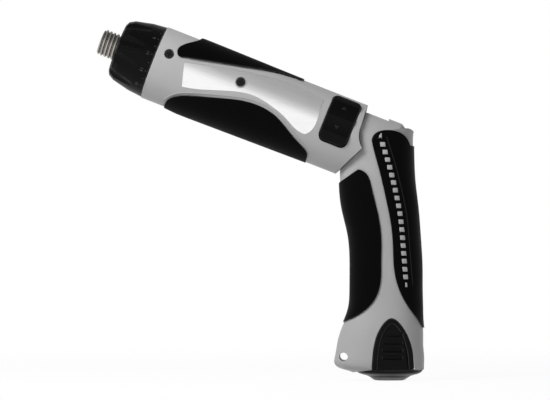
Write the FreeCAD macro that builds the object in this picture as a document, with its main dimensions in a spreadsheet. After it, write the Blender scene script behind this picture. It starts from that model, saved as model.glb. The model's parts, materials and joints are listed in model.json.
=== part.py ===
# Two-position electric screwdriver: a barrel that folds on a handle from pistol to straight.
# Row frame: +Z up along the handle, nose towards -X, left side towards -Y, origin under the battery cap.
# Barrel frame: +X from the fold pivot to the nose, +Y to the tool's left, +Z up.
import FreeCAD, Part
import math
import os
import Sketcher
from FreeCAD import Placement, Rotation, Vector

SIZES = {
    # Stance: where the fold pivot stands over the base, and how far the barrel rises in the pistol stance
    "pivot_offset": 7.4,
    "pivot_height": 123,
    "barrel_rise": 21.4,
    # Clearances: nested in one body, running shafts, parts that move past each other, and the overrun of cuts
    "seat_gap": 0.1,
    "run_gap": 0.05,
    "play": 0.4,
    "overrun": 6,
    # Barrel shell, with the rear edge that meets the handle in both stances
    "barrel_radius": 20,
    "shell_wall": 2,
    "barrel_front": 124.4,
    "rear_top": 11.4,
    "rear_waist": 9.8,
    "rear_cusp": 5,
    "cusp_drop": 2.2,
    "rear_foot": 15.5,
    # Barrel grips and badge
    "grip_pocket": 1.1,
    "grip_crown": 1.3,
    "grip_lip": 0.3,
    "crown_station": 98,
    "upper_grip_front": 114.5,
    "upper_grip_rear": 47.5,
    "lower_grip_front": 111,
    "lower_grip_rear": 30.6,
    "badge_front": 108.7,
    "badge_rear": 32.4,
    "badge_thick": 0.6,
    "badge_proud": 0.15,
    # Screws
    "screw_head_radius": 2.2,
    "screw_head_height": 1.5,
    "screw_shank_radius": 1.2,
    "screw_slot": 0.9,
    "barrel_screw_reach": 16.2,
    "barrel_screw_depth": 18.1,
    "barrel_screw_front": 117.8,
    "barrel_screw_rear": 77.2,
    "barrel_screw_rise": 6.9,
    "handle_screw_depth": 2.2,
    "handle_screw_length": 14,
    # Fold hinge
    "hub_gap": 0.6,
    "hub_reach": 19.9,
    "hinge_pin_radius": 3,
    "hinge_pin_length": 28,
    "tongue_thick": 12,
    "tongue_height": 16,
    "tongue_length": 34,
    "clamp_radius": 3,
    "detent_radius": 1.2,
    "detent_leaf": 0.5,
    "detent_length": 11,
    # Motor
    "motor_room": 4.2,
    "motor_rear": 40,
    "motor_front": 74,
    "can_wall": 1.2,
    "end_bell_length": 4,
    "rotor_gap": 0.8,
    "shaft_radius": 1.6,
    "plate_thick": 5.5,
    # Two planetary stages
    "case_wall": 1.5,
    "ring_rim": 1.8,
    "ring_width": 10.4,
    "gear_width": 8,
    "end_play": 0.4,
    "backlash": 0.16,
    "carrier_thick": 3,
    "carrier_room": 0.7,
    "planet_pin_radius": 1.3,
    "partition": 3,
    # Clutch and spindle
    "housing_wall": 2.7,
    "clutch_pin_radius": 1.4,
    "washer_thick": 1.5,
    "spring_wire": 0.9,
    "nut_thick": 4,
    "nose_radius": 11,
    "nose_front": 141,
    "bush_length": 10,
    "bush_wall": 2,
    "spindle_radius": 7,
    "journal_radius": 4.2,
    "spindle_front": 155.1,
    "thread_pitch": 2,
    "thread_depth": 0.9,
    "thread_length": 9.6,
    "socket_radius": 3.9,
    "socket_mouth": 5,
    "hex_across": 6.45,
    "hex_depth": 14,
    "clip_thick": 1,
    "clip_depth": 0.7,
    "clip_rim": 2,
    "collar_front": 145.4,
    "collar_gap": 0.4,
    "collar_shoulder": 17,
    "collar_nose": 13.4,
    "collar_round": 4,
    "collar_waist": 12.9,
    "collar_waist_radius": 18.85,
    "collar_face": 2.6,
    "flute_radius": 5,
    "flute_depth": 2.65,
    "flute_tilt": 18.7,
    # Rocker switch on the left side
    "rocker_rear": 13.5,
    "rocker_front": 28.8,
    "rocker_angle": 25,
    "rocker_span": 27,
    "rocker_proud": 1.2,
    "rocker_thick": 4.2,
    "rocker_corner": 3,
    "rocker_ridge": 0.9,
    "rocker_pin_radius": 0.8,
    "rocker_rib": 4,
    "switch_rear": 20.6,
    "switch_front": 32,
    "switch_inner": 6.4,
    "switch_outer": 9.4,
    "switch_low": 1.2,
    "switch_high": 9,
    "switch_ear": 1.4,
    # Handle
    "handle_depth": 38.2,
    "handle_width": 33,
    "handle_wall": 2.4,
    "handle_grip_proud": 0.7,
    "handle_grip_pocket": 1,
    "base_bulkhead": 36,
    "top_bulkhead": 86,
    "bulkhead_thick": 3,
    "cavity_top": 97,
    "strap_setback": 5.2,
    "strap_height": 12.6,
    "strap_radius": 2.25,
    # Battery
    "battery_offset": 1.2,
    "cell_radius": 9.1,
    "cell_length": 65,
    "battery_wall": 1.6,
    "battery_top": 84,
    "cap_depth": 35.4,
    "cap_width": 33,
    "cap_height": 5.6,
    "disc_depth": 20.2,
    "disc_width": 18.8,
    "disc_thick": 2.4,
    "latch_offset": 3.4,
    "latch_width": 21.8,
    "latch_top": 32.7,
    "latch_thick": 2.4,
    "latch_rim": 2.6,
    "latch_recess": 0.6,
    "latch_rib_radius": 1.7,
    "latch_rib_depth": 0.8,
    "latch_rib_pitch": 4,
    "latch_rib_low": 12.4,
    "latch_lean": 11.5,
    "terminal_thick": 0.6,
    "terminal_width": 4,
    "terminal_spread": 5,
}

# Counts
SUN_TEETH = 12
RING_TEETH = 36
PLANETS = 3
CLUTCH_PINS = 6
FLUTES = 10
SPRING_TURNS = 5
LATCH_RIBS = 4
SECTION_POINTS = 20

# Gear tooth form: shares of the module, and the pressure angle
ADDENDUM_SHARE = 0.9
DEDENDUM_SHARE = 1.25
PRESSURE_ANGLE = math.radians(25)

# Handle sections from the base up: height as a share of the pivot height,
# front and rear reach as shares of the handle's depth, half width as a share of half the handle's width
HANDLE_SECTION_SHARES = [
    (0.028, -0.487, 0.476, 0.940),
    (0.052, -0.652, 0.510, 1.067),
    (0.077, -0.733, 0.513, 1.115),
    (0.103, -0.723, 0.513, 1.127),
    (0.155, -0.694, 0.500, 1.115),
    (0.207, -0.652, 0.500, 1.090),
    (0.259, -0.584, 0.487, 1.060),
    (0.311, -0.526, 0.482, 1.030),
    (0.388, -0.505, 0.476, 1.006),
    (0.491, -0.503, 0.474, 1.000),
    (0.620, -0.529, 0.450, 1.006),
    (0.750, -0.623, 0.416, 1.030),
    (0.853, -0.652, 0.377, 1.048),
    (0.959, -0.654, 0.360, 1.055),
    (1.030, -0.654, 0.358, 1.055),
    (1.093, -0.654, 0.393, 1.055),
]
SQUARENESS = 2.3

# Side outlines of the handle grips: shares of the handle's depth and of the pivot height
FRONT_GRIP_SHARES = [
    (-0.393, 0.907), (-0.272, 0.886), (-0.209, 0.832), (-0.128, 0.729), (-0.076, 0.627),
    (-0.074, 0.500), (-0.092, 0.407), (-0.173, 0.345), (-0.319, 0.298), (-0.563, 0.258),
]
FRONT_GRIP_BACK_SHARES = [(-0.563, 0.258), (-0.900, 0.203), (-0.900, 0.800), (-0.393, 0.907)]
REAR_GRIP_SHARES = [
    (0.492, 0.233), (0.398, 0.276), (0.298, 0.318), (0.199, 0.372), (0.131, 0.433), (0.102, 0.483),
    (0.089, 0.564), (0.058, 0.676), (-0.008, 0.779), (-0.089, 0.889), (-0.168, 0.980), (-0.205, 1.030),
]
REAR_GRIP_TOP_SHARES = [(-0.205, 1.030), (-0.150, 1.062), (0.013, 1.075), (0.194, 1.063), (0.322, 1.009)]
BEAK_SHARES = [(0.262, 1.084), (0.319, 1.081), (0.361, 1.073), (0.382, 1.061), (0.384, 1.050)]
BEAK_BACK_SHARES = [(0.384, 1.050), (0.900, 1.000), (0.900, 1.300), (0.262, 1.300), (0.262, 1.084)]
REAR_GRIP_BACK_SHARES = [(0.322, 1.009), (0.900, 0.990), (0.900, 0.050), (0.492, 0.233)]

# Side outlines on the barrel: shares of the piece's length from its rear, and of the barrel's radius
UPPER_GRIP_SHARES = [
    (0.000, 0.975), (0.236, 0.920), (0.461, 0.760), (0.700, 0.585), (0.933, 0.405),
]
UPPER_GRIP_TIP_SHARES = [(0.933, 0.405), (0.988, 0.425), (1.000, 0.530), (0.965, 0.740), (0.873, 1.000)]
UPPER_GRIP_BACK_SHARES = [(0.873, 1.000), (0.800, 1.400), (-0.030, 1.400), (0.000, 0.975)]
LOWER_GRIP_SHARES = [
    (0.999, -0.935), (0.986, -0.795), (0.935, -0.615), (0.860, -0.485), (0.697, -0.285), (0.512, -0.090),
    (0.379, -0.070), (0.265, -0.190), (0.195, -0.340), (0.075, -0.605), (0.002, -0.820), (0.000, -0.920),
]
LOWER_GRIP_BACK_SHARES = [(0.000, -0.920), (0.000, -1.400), (0.999, -1.400), (0.999, -0.935)]
BADGE_TOP_SHARES = [
    (1.000, 0.280), (0.814, 0.460), (0.603, 0.635), (0.405, 0.750), (0.198, 0.775), (0.009, 0.700),
]
BADGE_REAR_SHARES = [(0.009, 0.700), (0.000, 0.215), (0.012, -0.180), (0.045, -0.325)]
BADGE_FOOT_SHARES = [
    (0.045, -0.325), (0.123, -0.275), (0.206, -0.115), (0.321, 0.040), (0.464, 0.130), (0.729, -0.105),
    (0.955, -0.335),
]
BADGE_FRONT_SHARES = [(0.955, -0.335), (1.000, 0.280)]

# Arch of the latch button: shares of its half width and of its height
LATCH_SHARES = [
    (-1.000, 0.000), (-0.960, 0.260), (-0.870, 0.510), (-0.620, 0.790), (-0.050, 1.000), (0.400, 0.860),
    (0.720, 0.620), (0.890, 0.400), (0.970, 0.170), (1.000, 0.000),
]
LATCH_RIB_SHARE = 0.5
LATCH_FACE_SHARE = 1.08

# Domed battery cap: height as a share of the cap's, reach as a share of its depth and width
CAP_SECTION_SHARES = [
    (0.000, 0.420), (0.110, 0.495), (0.285, 0.575), (0.580, 0.830), (0.880, 0.985), (1.000, 1.000),
]

# Line where the handle's front lip gives way to the cap: stations as shares of the cap's depth, and its lower end
CAP_LINE_SHARES = (-0.60, -0.29)
CAP_LINE_FOOT_SHARE = 0.72

# Rear edge of the barrel, fixings and rocker placed as shares of the pieces that carry them
REAR_EDGE_RISE_SHARES = {"top": 1.300, "waist": 0.450, "turn": 0.100, "foot": -1.200}
REAR_TURN_SHARE = 0.72
CLAMP_SHARES = (0.88, -0.32)
HANDLE_SCREW_SHARES = [(-0.42, 0.772), (-0.40, 0.190)]
ROCKER_SCOOP_SHARE = 0.35
ROCKER_AXLE_SHARE = 3
CLUTCH_PIN_TURN_SHARE = 0.5

# Cross slot in a screw head, and the thread form as shares of its pitch
SCREW_ARM_SHARE = 0.7
THREAD_FLAT_SHARE = 0.08
THREAD_MOUTH_SHARE = 0.3

DOC = FreeCAD.newDocument("electric_screwdriver")
SHEET = DOC.addObject("Spreadsheet::Sheet", "Sizes")
NODES = []


class Size:
    """A length that keeps both its number and the sheet expression it comes from."""

    def __init__(self, number, text):
        self.number = number
        self.text = text

    def __float__(self):
        return float(self.number)

    def join(self, other, sign, number):
        text = other.text if isinstance(other, Size) else repr(float(other))
        return Size(number, f"({self.text} {sign} {text})")

    def __add__(self, other):
        return self.join(other, "+", float(self) + float(other))

    def __sub__(self, other):
        return self.join(other, "-", float(self) - float(other))

    def __mul__(self, share):
        return self.join(share, "*", float(self) * float(share))

    def __truediv__(self, share):
        return self.join(share, "/", float(self) / float(share))

    def __neg__(self):
        return self * -1


class Sheet:
    """The sizes by name."""


def fill_sheet():
    sizes = Sheet()
    for row, (name, number) in enumerate(SIZES.items(), start=1):
        SHEET.set(f"A{row}", name.replace("_", " "))
        SHEET.set(f"B{row}", str(number))
        SHEET.setAlias(f"B{row}", name)
        setattr(sizes, name, Size(number, f"Sizes.{name}"))
    DOC.recompute()
    return sizes


S = fill_sheet()
ZERO = S.play * 0
PIVOT = Vector(-S.pivot_offset.number, 0, S.pivot_height.number)
ROW_FRAME = Placement()
BARREL_TURN = Rotation(Vector(0, 0, 1), 180)
BARREL_FRAME = Placement(PIVOT, Rotation(Vector(0, 1, 0), S.barrel_rise.number) * BARREL_TURN)
STRAIGHT_FRAME = Placement(PIVOT, Rotation(Vector(0, 1, 0), 90) * BARREL_TURN)
BATTERY_FRAME = Placement(Vector(S.battery_offset.number, 0, 0), Rotation(Vector(0, 1, 0), -90))
SEAM_TURN = Rotation(Vector(1, 0, 0), 90)
AXIS_TURNS = {
    "X": Rotation(Vector(0, 1, 0), 90),
    "Y": Rotation(Vector(1, 0, 0), -90),
    "Z": Rotation(),
}

# Sizes that follow from the sheet
BORE = S.barrel_radius - S.shell_wall
HUB_RADIUS = BORE - S.hub_gap
MOTOR_RADIUS = BORE - S.motor_room
PLATE_FRONT = S.motor_front + S.plate_thick
CASE_RADIUS = BORE - S.seat_gap
RING_OUTER = CASE_RADIUS - S.case_wall - S.seat_gap
RING_ROOT = RING_OUTER - S.ring_rim
MODULE = RING_ROOT / (RING_TEETH / 2 + DEDENDUM_SHARE)
PLANET_TEETH = (RING_TEETH - SUN_TEETH) // 2
PLANET_ORBIT = MODULE * ((SUN_TEETH + PLANET_TEETH) / 2)
RING_TIP = MODULE * (RING_TEETH / 2 - ADDENDUM_SHARE)
CARRIER_RADIUS = RING_TIP - S.carrier_room
GEARS_ONE = PLATE_FRONT + S.end_play
CARRIER_ONE = GEARS_ONE + S.gear_width + S.end_play
GEARS_TWO = CARRIER_ONE + S.carrier_thick + S.end_play
CARRIER_TWO = GEARS_TWO + S.gear_width + S.end_play
RING_TWO = PLATE_FRONT + S.ring_width + S.end_play
RING_TWO_FRONT = RING_TWO + S.ring_width
PARTITION = CARRIER_TWO + S.carrier_thick + S.end_play
WASHER = PARTITION + S.partition + S.end_play
SPRING_REAR = WASHER + S.washer_thick
HOUSING_BORE = CASE_RADIUS - S.housing_wall
NUT_RADIUS = HOUSING_BORE - S.play
NUT_REAR = S.barrel_front + S.collar_gap
SPRING_RADIUS = (S.nose_radius + HOUSING_BORE) / 2
ROCKER_FLOOR = BORE - S.rocker_thick / 2
BATTERY_RADIUS = S.cell_radius + S.battery_wall + S.seat_gap
BATTERY_BORE = BATTERY_RADIUS + S.play


def bind(thing, **sizes):
    for name, size in sizes.items():
        thing.setExpression(name, size.text)


def put(thing, at):
    for letter, size in zip("xyz", at):
        thing.setExpression(f"Placement.Base.{letter}", size.text)


def cylinder(name, radius, length, at, axis):
    rod = DOC.addObject("Part::Cylinder", name)
    rod.Placement = Placement(Vector(), AXIS_TURNS[axis])
    bind(rod, Radius=radius, Height=length)
    put(rod, at)
    return rod


def box(name, low, high):
    block = DOC.addObject("Part::Box", name)
    bind(block, Length=high[0] - low[0], Width=high[1] - low[1], Height=high[2] - low[2])
    put(block, low)
    return block


def ball(name, radius, at):
    globe = DOC.addObject("Part::Sphere", name)
    bind(globe, Radius=radius)
    put(globe, at)
    return globe


def made(name, shape):
    thing = DOC.addObject("Part::Feature", name)
    thing.Shape = shape
    return thing


def fuse(name, *things):
    if len(things) == 1:
        return things[0]
    whole = DOC.addObject("Part::MultiFuse", name)
    whole.Shapes = list(things)
    return whole


def common(name, *things):
    overlap = DOC.addObject("Part::MultiCommon", name)
    overlap.Shapes = list(things)
    return overlap


def cut(name, base, *tools):
    rest = DOC.addObject("Part::Cut", name)
    rest.Base = base
    rest.Tool = fuse(name + "_tools", *tools)
    return rest


def group(name, things):
    whole = DOC.addObject("Part::Compound", name)
    whole.Links = list(things)
    return whole


def moved(name, thing, frame):
    """A copy of a built form in another frame."""
    DOC.recompute()
    shape = thing.Shape.copy()
    shape.Placement = frame.multiply(shape.Placement)
    return made(name, shape)


def shared(name, form, room):
    """The part of a lofted form that lies in a room."""
    DOC.recompute()
    return made(name, form.Shape.copy().common(room.Shape))


def node(label, thing, frame):
    """Registers a finished sub-part under its own label, in its own frame."""
    thing.Label = label
    NODES.append((label, thing, frame))
    return thing


def origin_plane(body, role):
    return [plane for plane in body.Origin.OriginFeatures if plane.Role == role][0]


def turned(name, outline):
    """A body turned about its X axis from (station, radius) corners."""
    body = DOC.addObject("PartDesign::Body", name + "_body")
    sketch = body.newObject("Sketcher::SketchObject", name + "_profile")
    sketch.AttachmentSupport = [(origin_plane(body, "XZ_Plane"), "")]
    sketch.MapMode = "FlatFace"
    spots = [Vector(float(station), float(radius), 0) for station, radius in outline]
    count = len(spots)
    for k, spot in enumerate(spots):
        sketch.addGeometry(Part.LineSegment(spot, spots[(k + 1) % count]))
    for k in range(count):
        sketch.addConstraint(Sketcher.Constraint("Coincident", k, 2, (k + 1) % count, 1))
    for k, (station, radius) in enumerate(outline):
        along = sketch.addConstraint(Sketcher.Constraint("DistanceX", -1, 1, k, 1, spots[k].x))
        away = sketch.addConstraint(Sketcher.Constraint("DistanceY", -1, 1, k, 1, spots[k].y))
        sketch.setExpression(f"Constraints[{along}]", station.text)
        sketch.setExpression(f"Constraints[{away}]", radius.text)
    spin = body.newObject("PartDesign::Revolution", name + "_turn")
    spin.Profile = sketch
    spin.ReferenceAxis = (sketch, ["H_Axis"])
    spin.Angle = 360
    return body


def ring(name, rear, front, inner, outer):
    return turned(name, [(rear, inner), (front, inner), (front, outer), (rear, outer)])


def disc(name, rear, front, outer):
    return ring(name, rear, front, ZERO, outer)


def edges_of(runs):
    """Edges in the XZ plane from runs of points: a curve through them, or straight lines."""
    edges = []
    for kind, points in runs:
        spots = [Vector(x, 0, z) for x, z in points]
        if kind == "curve":
            spline = Part.BSplineCurve()
            spline.interpolate(spots)
            edges.append(spline.toShape())
        else:
            edges += [Part.makeLine(start, end) for start, end in zip(spots, spots[1:])]
    return edges


def prism(name, runs, low, high):
    """A side outline carried across the tool from low to high along Y."""
    face = Part.Face(Part.Wire(edges_of(runs)))
    face.translate(Vector(0, float(low), 0))
    return made(name, face.extrude(Vector(0, float(high) - float(low), 0)))


def scaled(shares, start, length, height, base=0):
    points = []
    for along, up in shares:
        points.append((float(start) + along * float(length), base + up * float(height)))
    return points


def section_wire(front, rear, half_width, height):
    centre = (front + rear) / 2
    half_depth = (rear - front) / 2
    spots = []
    for k in range(SECTION_POINTS):
        angle = math.tau * k / SECTION_POINTS
        across = math.copysign(abs(math.cos(angle)) ** (2 / SQUARENESS), math.cos(angle))
        aside = math.copysign(abs(math.sin(angle)) ** (2 / SQUARENESS), math.sin(angle))
        spots.append(Vector(centre + half_depth * across, half_width * aside, height))
    spline = Part.BSplineCurve()
    spline.interpolate(spots, PeriodicFlag=True)
    return Part.Wire(spline.toShape())


def handle_form(name, offset):
    """The handle's skin, grown or shrunk by an offset."""
    wires = []
    for up, front, rear, width in HANDLE_SECTION_SHARES:
        reach = float(S.handle_depth)
        half_width = width * float(S.handle_width) / 2 + float(offset)
        low = front * reach - float(offset)
        high = rear * reach + float(offset)
        wires.append(section_wire(low, high, half_width, up * float(S.pivot_height)))
    return made(name, Part.makeLoft(wires, True, False))


def half_room(name, side, reach, low, high, gap=None):
    """A block that fills one side of the middle plane; side is +1 or -1 along Y."""
    edge = gap if gap is not None else ZERO
    if side > 0:
        return box(name, (low[0], edge, low[1]), (high[0], reach, high[1]))
    return box(name, (low[0], -reach, low[1]), (high[0], -edge, high[1]))


# Barrel shells and what lies on them

def rear_edge(gap):
    """Rear edge of the barrel in its side view, from the top to the foot, moved back by a gap."""
    radius = float(S.barrel_radius)
    rise = {key: share * radius for key, share in REAR_EDGE_RISE_SHARES.items()}
    back = float(gap)
    cusp = (float(S.rear_cusp) - back, -float(S.cusp_drop))
    turn = float(S.rear_cusp) + REAR_TURN_SHARE * (float(S.rear_waist) - float(S.rear_cusp))
    upper = [(float(S.rear_top) - back, rise["top"]), (float(S.rear_waist) - back, rise["waist"])]
    bend = [upper[-1], (turn - back, rise["turn"]), cusp]
    return upper, bend, [cusp, (float(S.rear_foot) - back, rise["foot"])]


def barrel_reach(name, gap):
    """Everything that lies ahead of the barrel's rear edge, as one thick slab."""
    upper, bend, lower = rear_edge(gap)
    front = float(S.barrel_front) + float(S.overrun)
    close = [lower[-1], (front, lower[-1][1]), (front, upper[0][1]), upper[0]]
    width = S.barrel_radius + S.overrun
    return prism(name, [("line", upper), ("curve", bend), ("line", lower), ("line", close)], -width, width)


def barrel_side(side):
    """Window, pockets and recesses of one barrel half; returns the shell and the pieces let into it."""
    name = "left" if side > 0 else "right"
    wide = S.barrel_radius + S.overrun
    low, high = (-S.overrun, -wide), (S.barrel_front + S.overrun, wide)
    half = half_room(f"barrel_{name}_room", side, wide, low, high)
    near, far = (ZERO, wide) if side > 0 else (-wide, ZERO)
    shell = common(f"barrel_{name}_half", BARREL_TUBE, BARREL_SLAB, half)
    pockets = []
    for grip, runs in (("upper", upper_grip_runs()), ("lower", lower_grip_runs())):
        leaf = prism(f"{grip}_{name}_leaf", runs, near, far)
        skin = common(f"barrel_grip_{grip}_{name}", leaf, GRIP_SKIN, half)
        node(f"barrel_grip_{grip}_{name}", skin, BARREL_FRAME)
        pockets.append(common(f"{grip}_{name}_pocket", leaf, GRIP_POCKET))
    plate_room = prism(f"badge_{name}_room", badge_runs(), near, far)
    pockets.append(common(f"badge_{name}_pocket", plate_room, BADGE_POCKET))
    holes = [screw_hole(f"barrel_{name}_{place}", station, side) for place, station in screw_stations()]
    badge = cut(f"side_badge_{name}", common(f"badge_{name}_blank", plate_room, BADGE_SKIN), *holes)
    node(f"side_badge_{name}", badge, BARREL_FRAME)
    post = clamp_post(name, side)
    body = fuse(f"barrel_{name}_fused", shell, post)
    if side > 0:
        pockets.append(rocker_block("rocker_window", S.play, S.rocker_thick * 2))
    node(f"barrel_shell_{name}", cut(f"barrel_shell_{name}_cut", body, *pockets, *holes), BARREL_FRAME)


def clamp_post(name, side):
    """Boss inside the shell that clamps the hinge tongue."""
    along, up = CLAMP_SHARES
    start = S.tongue_thick / 2 if side > 0 else -(S.barrel_radius - S.shell_wall / 2)
    length = S.barrel_radius - S.shell_wall / 2 - S.tongue_thick / 2
    at = (S.tongue_length * along, start, S.tongue_height * up)
    post = cylinder(f"clamp_post_{name}", S.clamp_radius, length, at, "Y")
    return common(f"clamp_{name}", post, BARREL_SOLID)


def upper_grip_runs():
    length = S.upper_grip_front - S.upper_grip_rear
    place = (S.upper_grip_rear, length, S.barrel_radius)
    return [
        ("curve", scaled(UPPER_GRIP_SHARES, *place)),
        ("curve", scaled(UPPER_GRIP_TIP_SHARES, *place)),
        ("line", scaled(UPPER_GRIP_BACK_SHARES, *place)),
    ]


def lower_grip_runs():
    length = S.lower_grip_front - S.lower_grip_rear
    place = (S.lower_grip_rear, length, S.barrel_radius)
    return [
        ("curve", scaled(LOWER_GRIP_SHARES, *place)),
        ("line", scaled(LOWER_GRIP_BACK_SHARES, *place)),
    ]


def badge_runs():
    place = (S.badge_rear, S.badge_front - S.badge_rear, S.barrel_radius)
    return [
        ("curve", scaled(BADGE_TOP_SHARES, *place)),
        ("curve", scaled(BADGE_REAR_SHARES, *place)),
        ("curve", scaled(BADGE_FOOT_SHARES, *place)),
        ("line", scaled(BADGE_FRONT_SHARES, *place)),
    ]


def screw_stations():
    return (("front", S.barrel_screw_front), ("rear", S.barrel_screw_rear))


def screw_hole(name, station, side):
    """Recess for the head and a clearance hole for the shank, from the side inwards."""
    head_start = S.barrel_screw_depth - S.screw_head_height
    wide = S.barrel_radius + S.overrun
    recess_radius = S.screw_head_radius + S.play
    hole_radius = S.screw_shank_radius + S.seat_gap
    shank = S.barrel_screw_depth - S.barrel_screw_reach + S.overrun
    rise = S.barrel_screw_rise
    if side > 0:
        recess_at, hole_at = head_start - S.seat_gap, head_start - shank
    else:
        recess_at, hole_at = -wide, -head_start
    recess = cylinder(f"{name}_recess", recess_radius, wide - head_start + S.seat_gap, (station, recess_at, rise), "Y")
    hole = cylinder(f"{name}_hole", hole_radius, shank, (station, hole_at, rise), "Y")
    return fuse(f"{name}_screw_hole", recess, hole)


def side_screw(name, station, height, head_face, length, side):
    """One slotted-head screw along Y, its head face at head_face on the given side."""
    head_low = head_face - S.screw_head_height
    if side > 0:
        head_at, shank_at = head_low, head_low - length
        slot_low, slot_high = head_face - S.screw_slot, head_face + S.overrun
    else:
        head_at, shank_at = -head_face, -head_low
        slot_low, slot_high = -head_face - S.overrun, -head_face + S.screw_slot
    head = cylinder(f"{name}_head", S.screw_head_radius, S.screw_head_height, (station, head_at, height), "Y")
    shank = cylinder(f"{name}_shank", S.screw_shank_radius, length, (station, shank_at, height), "Y")
    arm, half = S.screw_head_radius * SCREW_ARM_SHARE, S.screw_slot / 2
    first = box(f"{name}_slot", (station - arm, slot_low, height - half), (station + arm, slot_high, height + half))
    second = box(f"{name}_cross", (station - half, slot_low, height - arm), (station + half, slot_high, height + arm))
    return cut(name, fuse(f"{name}_blank", head, shank), first, second)


def barrel_screws():
    screws = []
    for place, station in screw_stations():
        for side, name in ((1, "left"), (-1, "right")):
            length = S.barrel_screw_depth - S.screw_head_height - S.barrel_screw_reach + S.case_wall
            screws.append(side_screw(f"screw_{place}_{name}", station, S.barrel_screw_rise,
                                     S.barrel_screw_depth, length, side))
    node("barrel_screws", group("barrel_screws_group", screws), BARREL_FRAME)


BARREL_SOLID = cylinder("barrel_solid", S.barrel_radius, S.barrel_front + S.overrun, (-S.overrun, ZERO, ZERO), "X")
BARREL_TUBE = ring("barrel_tube", -S.overrun, S.barrel_front, BORE, S.barrel_radius)
BARREL_SLAB = barrel_reach("barrel_slab", ZERO)
GRIP_BED = S.barrel_radius - S.grip_pocket
GRIP_SKIN = turned("grip_skin", [
    (S.lower_grip_rear - S.overrun * 2, GRIP_BED),
    (S.upper_grip_front + S.overrun, GRIP_BED),
    (S.upper_grip_front + S.overrun, S.barrel_radius),
    (S.crown_station + S.overrun, S.barrel_radius + S.grip_crown),
    (S.crown_station, S.barrel_radius + S.grip_crown),
    (S.lower_grip_rear - S.overrun * 2, S.barrel_radius + S.grip_lip),
])
GRIP_SKIN.Placement = Placement(Vector(), SEAM_TURN)
GRIP_POCKET = ring("grip_pocket", S.lower_grip_rear - S.overrun * 2, S.barrel_front, GRIP_BED,
                   S.barrel_radius + S.overrun)
BADGE_BED = S.barrel_radius - S.badge_thick
BADGE_SKIN = ring("badge_skin", S.badge_rear - S.overrun, S.barrel_front, BADGE_BED, S.barrel_radius + S.badge_proud)
BADGE_POCKET = ring("badge_pocket", S.badge_rear - S.overrun, S.barrel_front, BADGE_BED, S.barrel_radius + S.overrun)


# Rocker switch

def rocker_block(name, grow, depth):
    """Rounded block that reaches out of the barrel at the rocker's own angle, from a depth below its bore."""
    half = float(S.rocker_span) / 2 + float(grow)
    rear = float(S.rocker_rear) - float(grow)
    front = float(S.rocker_front) + float(grow)
    inner = float(BORE) - float(depth)
    reach = float(S.barrel_radius + S.overrun) - inner
    wire = Part.makePolygon([Vector(x, 0, z) for x, z in (
        (rear, -half), (front, -half), (front, half), (rear, half), (rear, -half))])
    block = Part.Face(wire).extrude(Vector(0, reach, 0))
    uprights = [edge for edge in block.Edges if abs(edge.tangentAt(edge.FirstParameter).y) > math.cos(math.radians(1))]
    block = block.makeFillet(float(S.rocker_corner) + float(grow), uprights)
    block.translate(Vector(0, inner, 0))
    block.rotate(Vector(), Vector(1, 0, 0), S.rocker_angle.number)
    return made(name, block)


def at_rocker(out, up):
    """A point of the barrel's section given outwards and upwards along the rocker's own directions."""
    angle = math.radians(S.rocker_angle.number)
    return out * math.cos(angle) - up * math.sin(angle), out * math.sin(angle) + up * math.cos(angle)


def along_barrel(radius, start, length, y, z):
    return Part.makeCylinder(float(radius), float(length), Vector(float(start), y, z), Vector(1, 0, 0))


def rocker_scoop(sign):
    """Shallow dish on one half of the rocker's face."""
    radius = float(S.rocker_span)
    turn = sign * ROCKER_SCOOP_SHARE * float(S.rocker_span) / 2 / float(S.barrel_radius)
    away = float(S.barrel_radius + S.rocker_proud) + radius - float(S.rocker_ridge)
    y, z = at_rocker(away * math.cos(turn), away * math.sin(turn))
    name = "upper" if sign > 0 else "lower"
    return made(f"rocker_scoop_{name}", along_barrel(radius, 0, S.rocker_front + S.overrun, y, z))


def rocker_axle():
    return float(ROCKER_FLOOR) - ROCKER_AXLE_SHARE * float(S.rocker_pin_radius)


def rocker_switch():
    pad_skin = ring("rocker_skin", S.rocker_rear - S.overrun, S.rocker_front + S.overrun, ROCKER_FLOOR,
                    S.barrel_radius + S.rocker_proud)
    pad = common("rocker_pad", pad_skin, rocker_block("rocker_blank", ZERO, S.rocker_thick))
    axle, half = rocker_axle(), 2 * float(S.rocker_pin_radius)
    height = float(BORE) - axle + half
    rib = Part.makeBox(float(S.rocker_rib), height, 2 * half, Vector(rib_start(), axle - half, -half))
    rib.rotate(Vector(), Vector(1, 0, 0), S.rocker_angle.number)
    bore = along_barrel(S.rocker_pin_radius + S.run_gap, 0, S.rocker_front * 2, *at_rocker(axle, 0))
    body = fuse("rocker_body", pad, made("rocker_rib", rib))
    scoops = [rocker_scoop(sign) for sign in (1, -1)]
    node("rocker_switch", cut("rocker_shape", body, made("rocker_bore", bore), *scoops), BARREL_FRAME)


def rib_start():
    return (float(S.switch_rear) + float(S.switch_front) - float(S.rocker_rib)) / 2


def switch_module():
    """Switch body under the rocker, with two ears that carry the rocker's pin."""
    y, z = at_rocker(rocker_axle(), 0)
    ear, half = float(S.switch_ear), 2 * float(S.rocker_pin_radius)
    low = float(S.switch_outer - S.play)
    first = rib_start() - float(S.play) - ear
    last = rib_start() + float(S.rocker_rib) + float(S.play)
    pin = along_barrel(S.rocker_pin_radius, first, last + ear - first, y, z)
    node("rocker_pin", made("rocker_pin_shape", pin), BARREL_FRAME)
    body = box("switch_box", (S.switch_rear, S.switch_inner, -S.switch_low),
               (S.switch_front, S.switch_outer, S.switch_high))
    hole = along_barrel(S.rocker_pin_radius + S.seat_gap / 2, 0, S.rocker_front * 2, y, z)
    ears = []
    for k, start in enumerate((first, last)):
        plate = Part.makeBox(ear, y - low + half, 2 * half, Vector(start, low, z - half))
        ears.append(made(f"switch_ear_{k}", plate.cut(hole)))
    node("switch_module", fuse("switch_module_shape", body, *ears), BARREL_FRAME)


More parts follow.
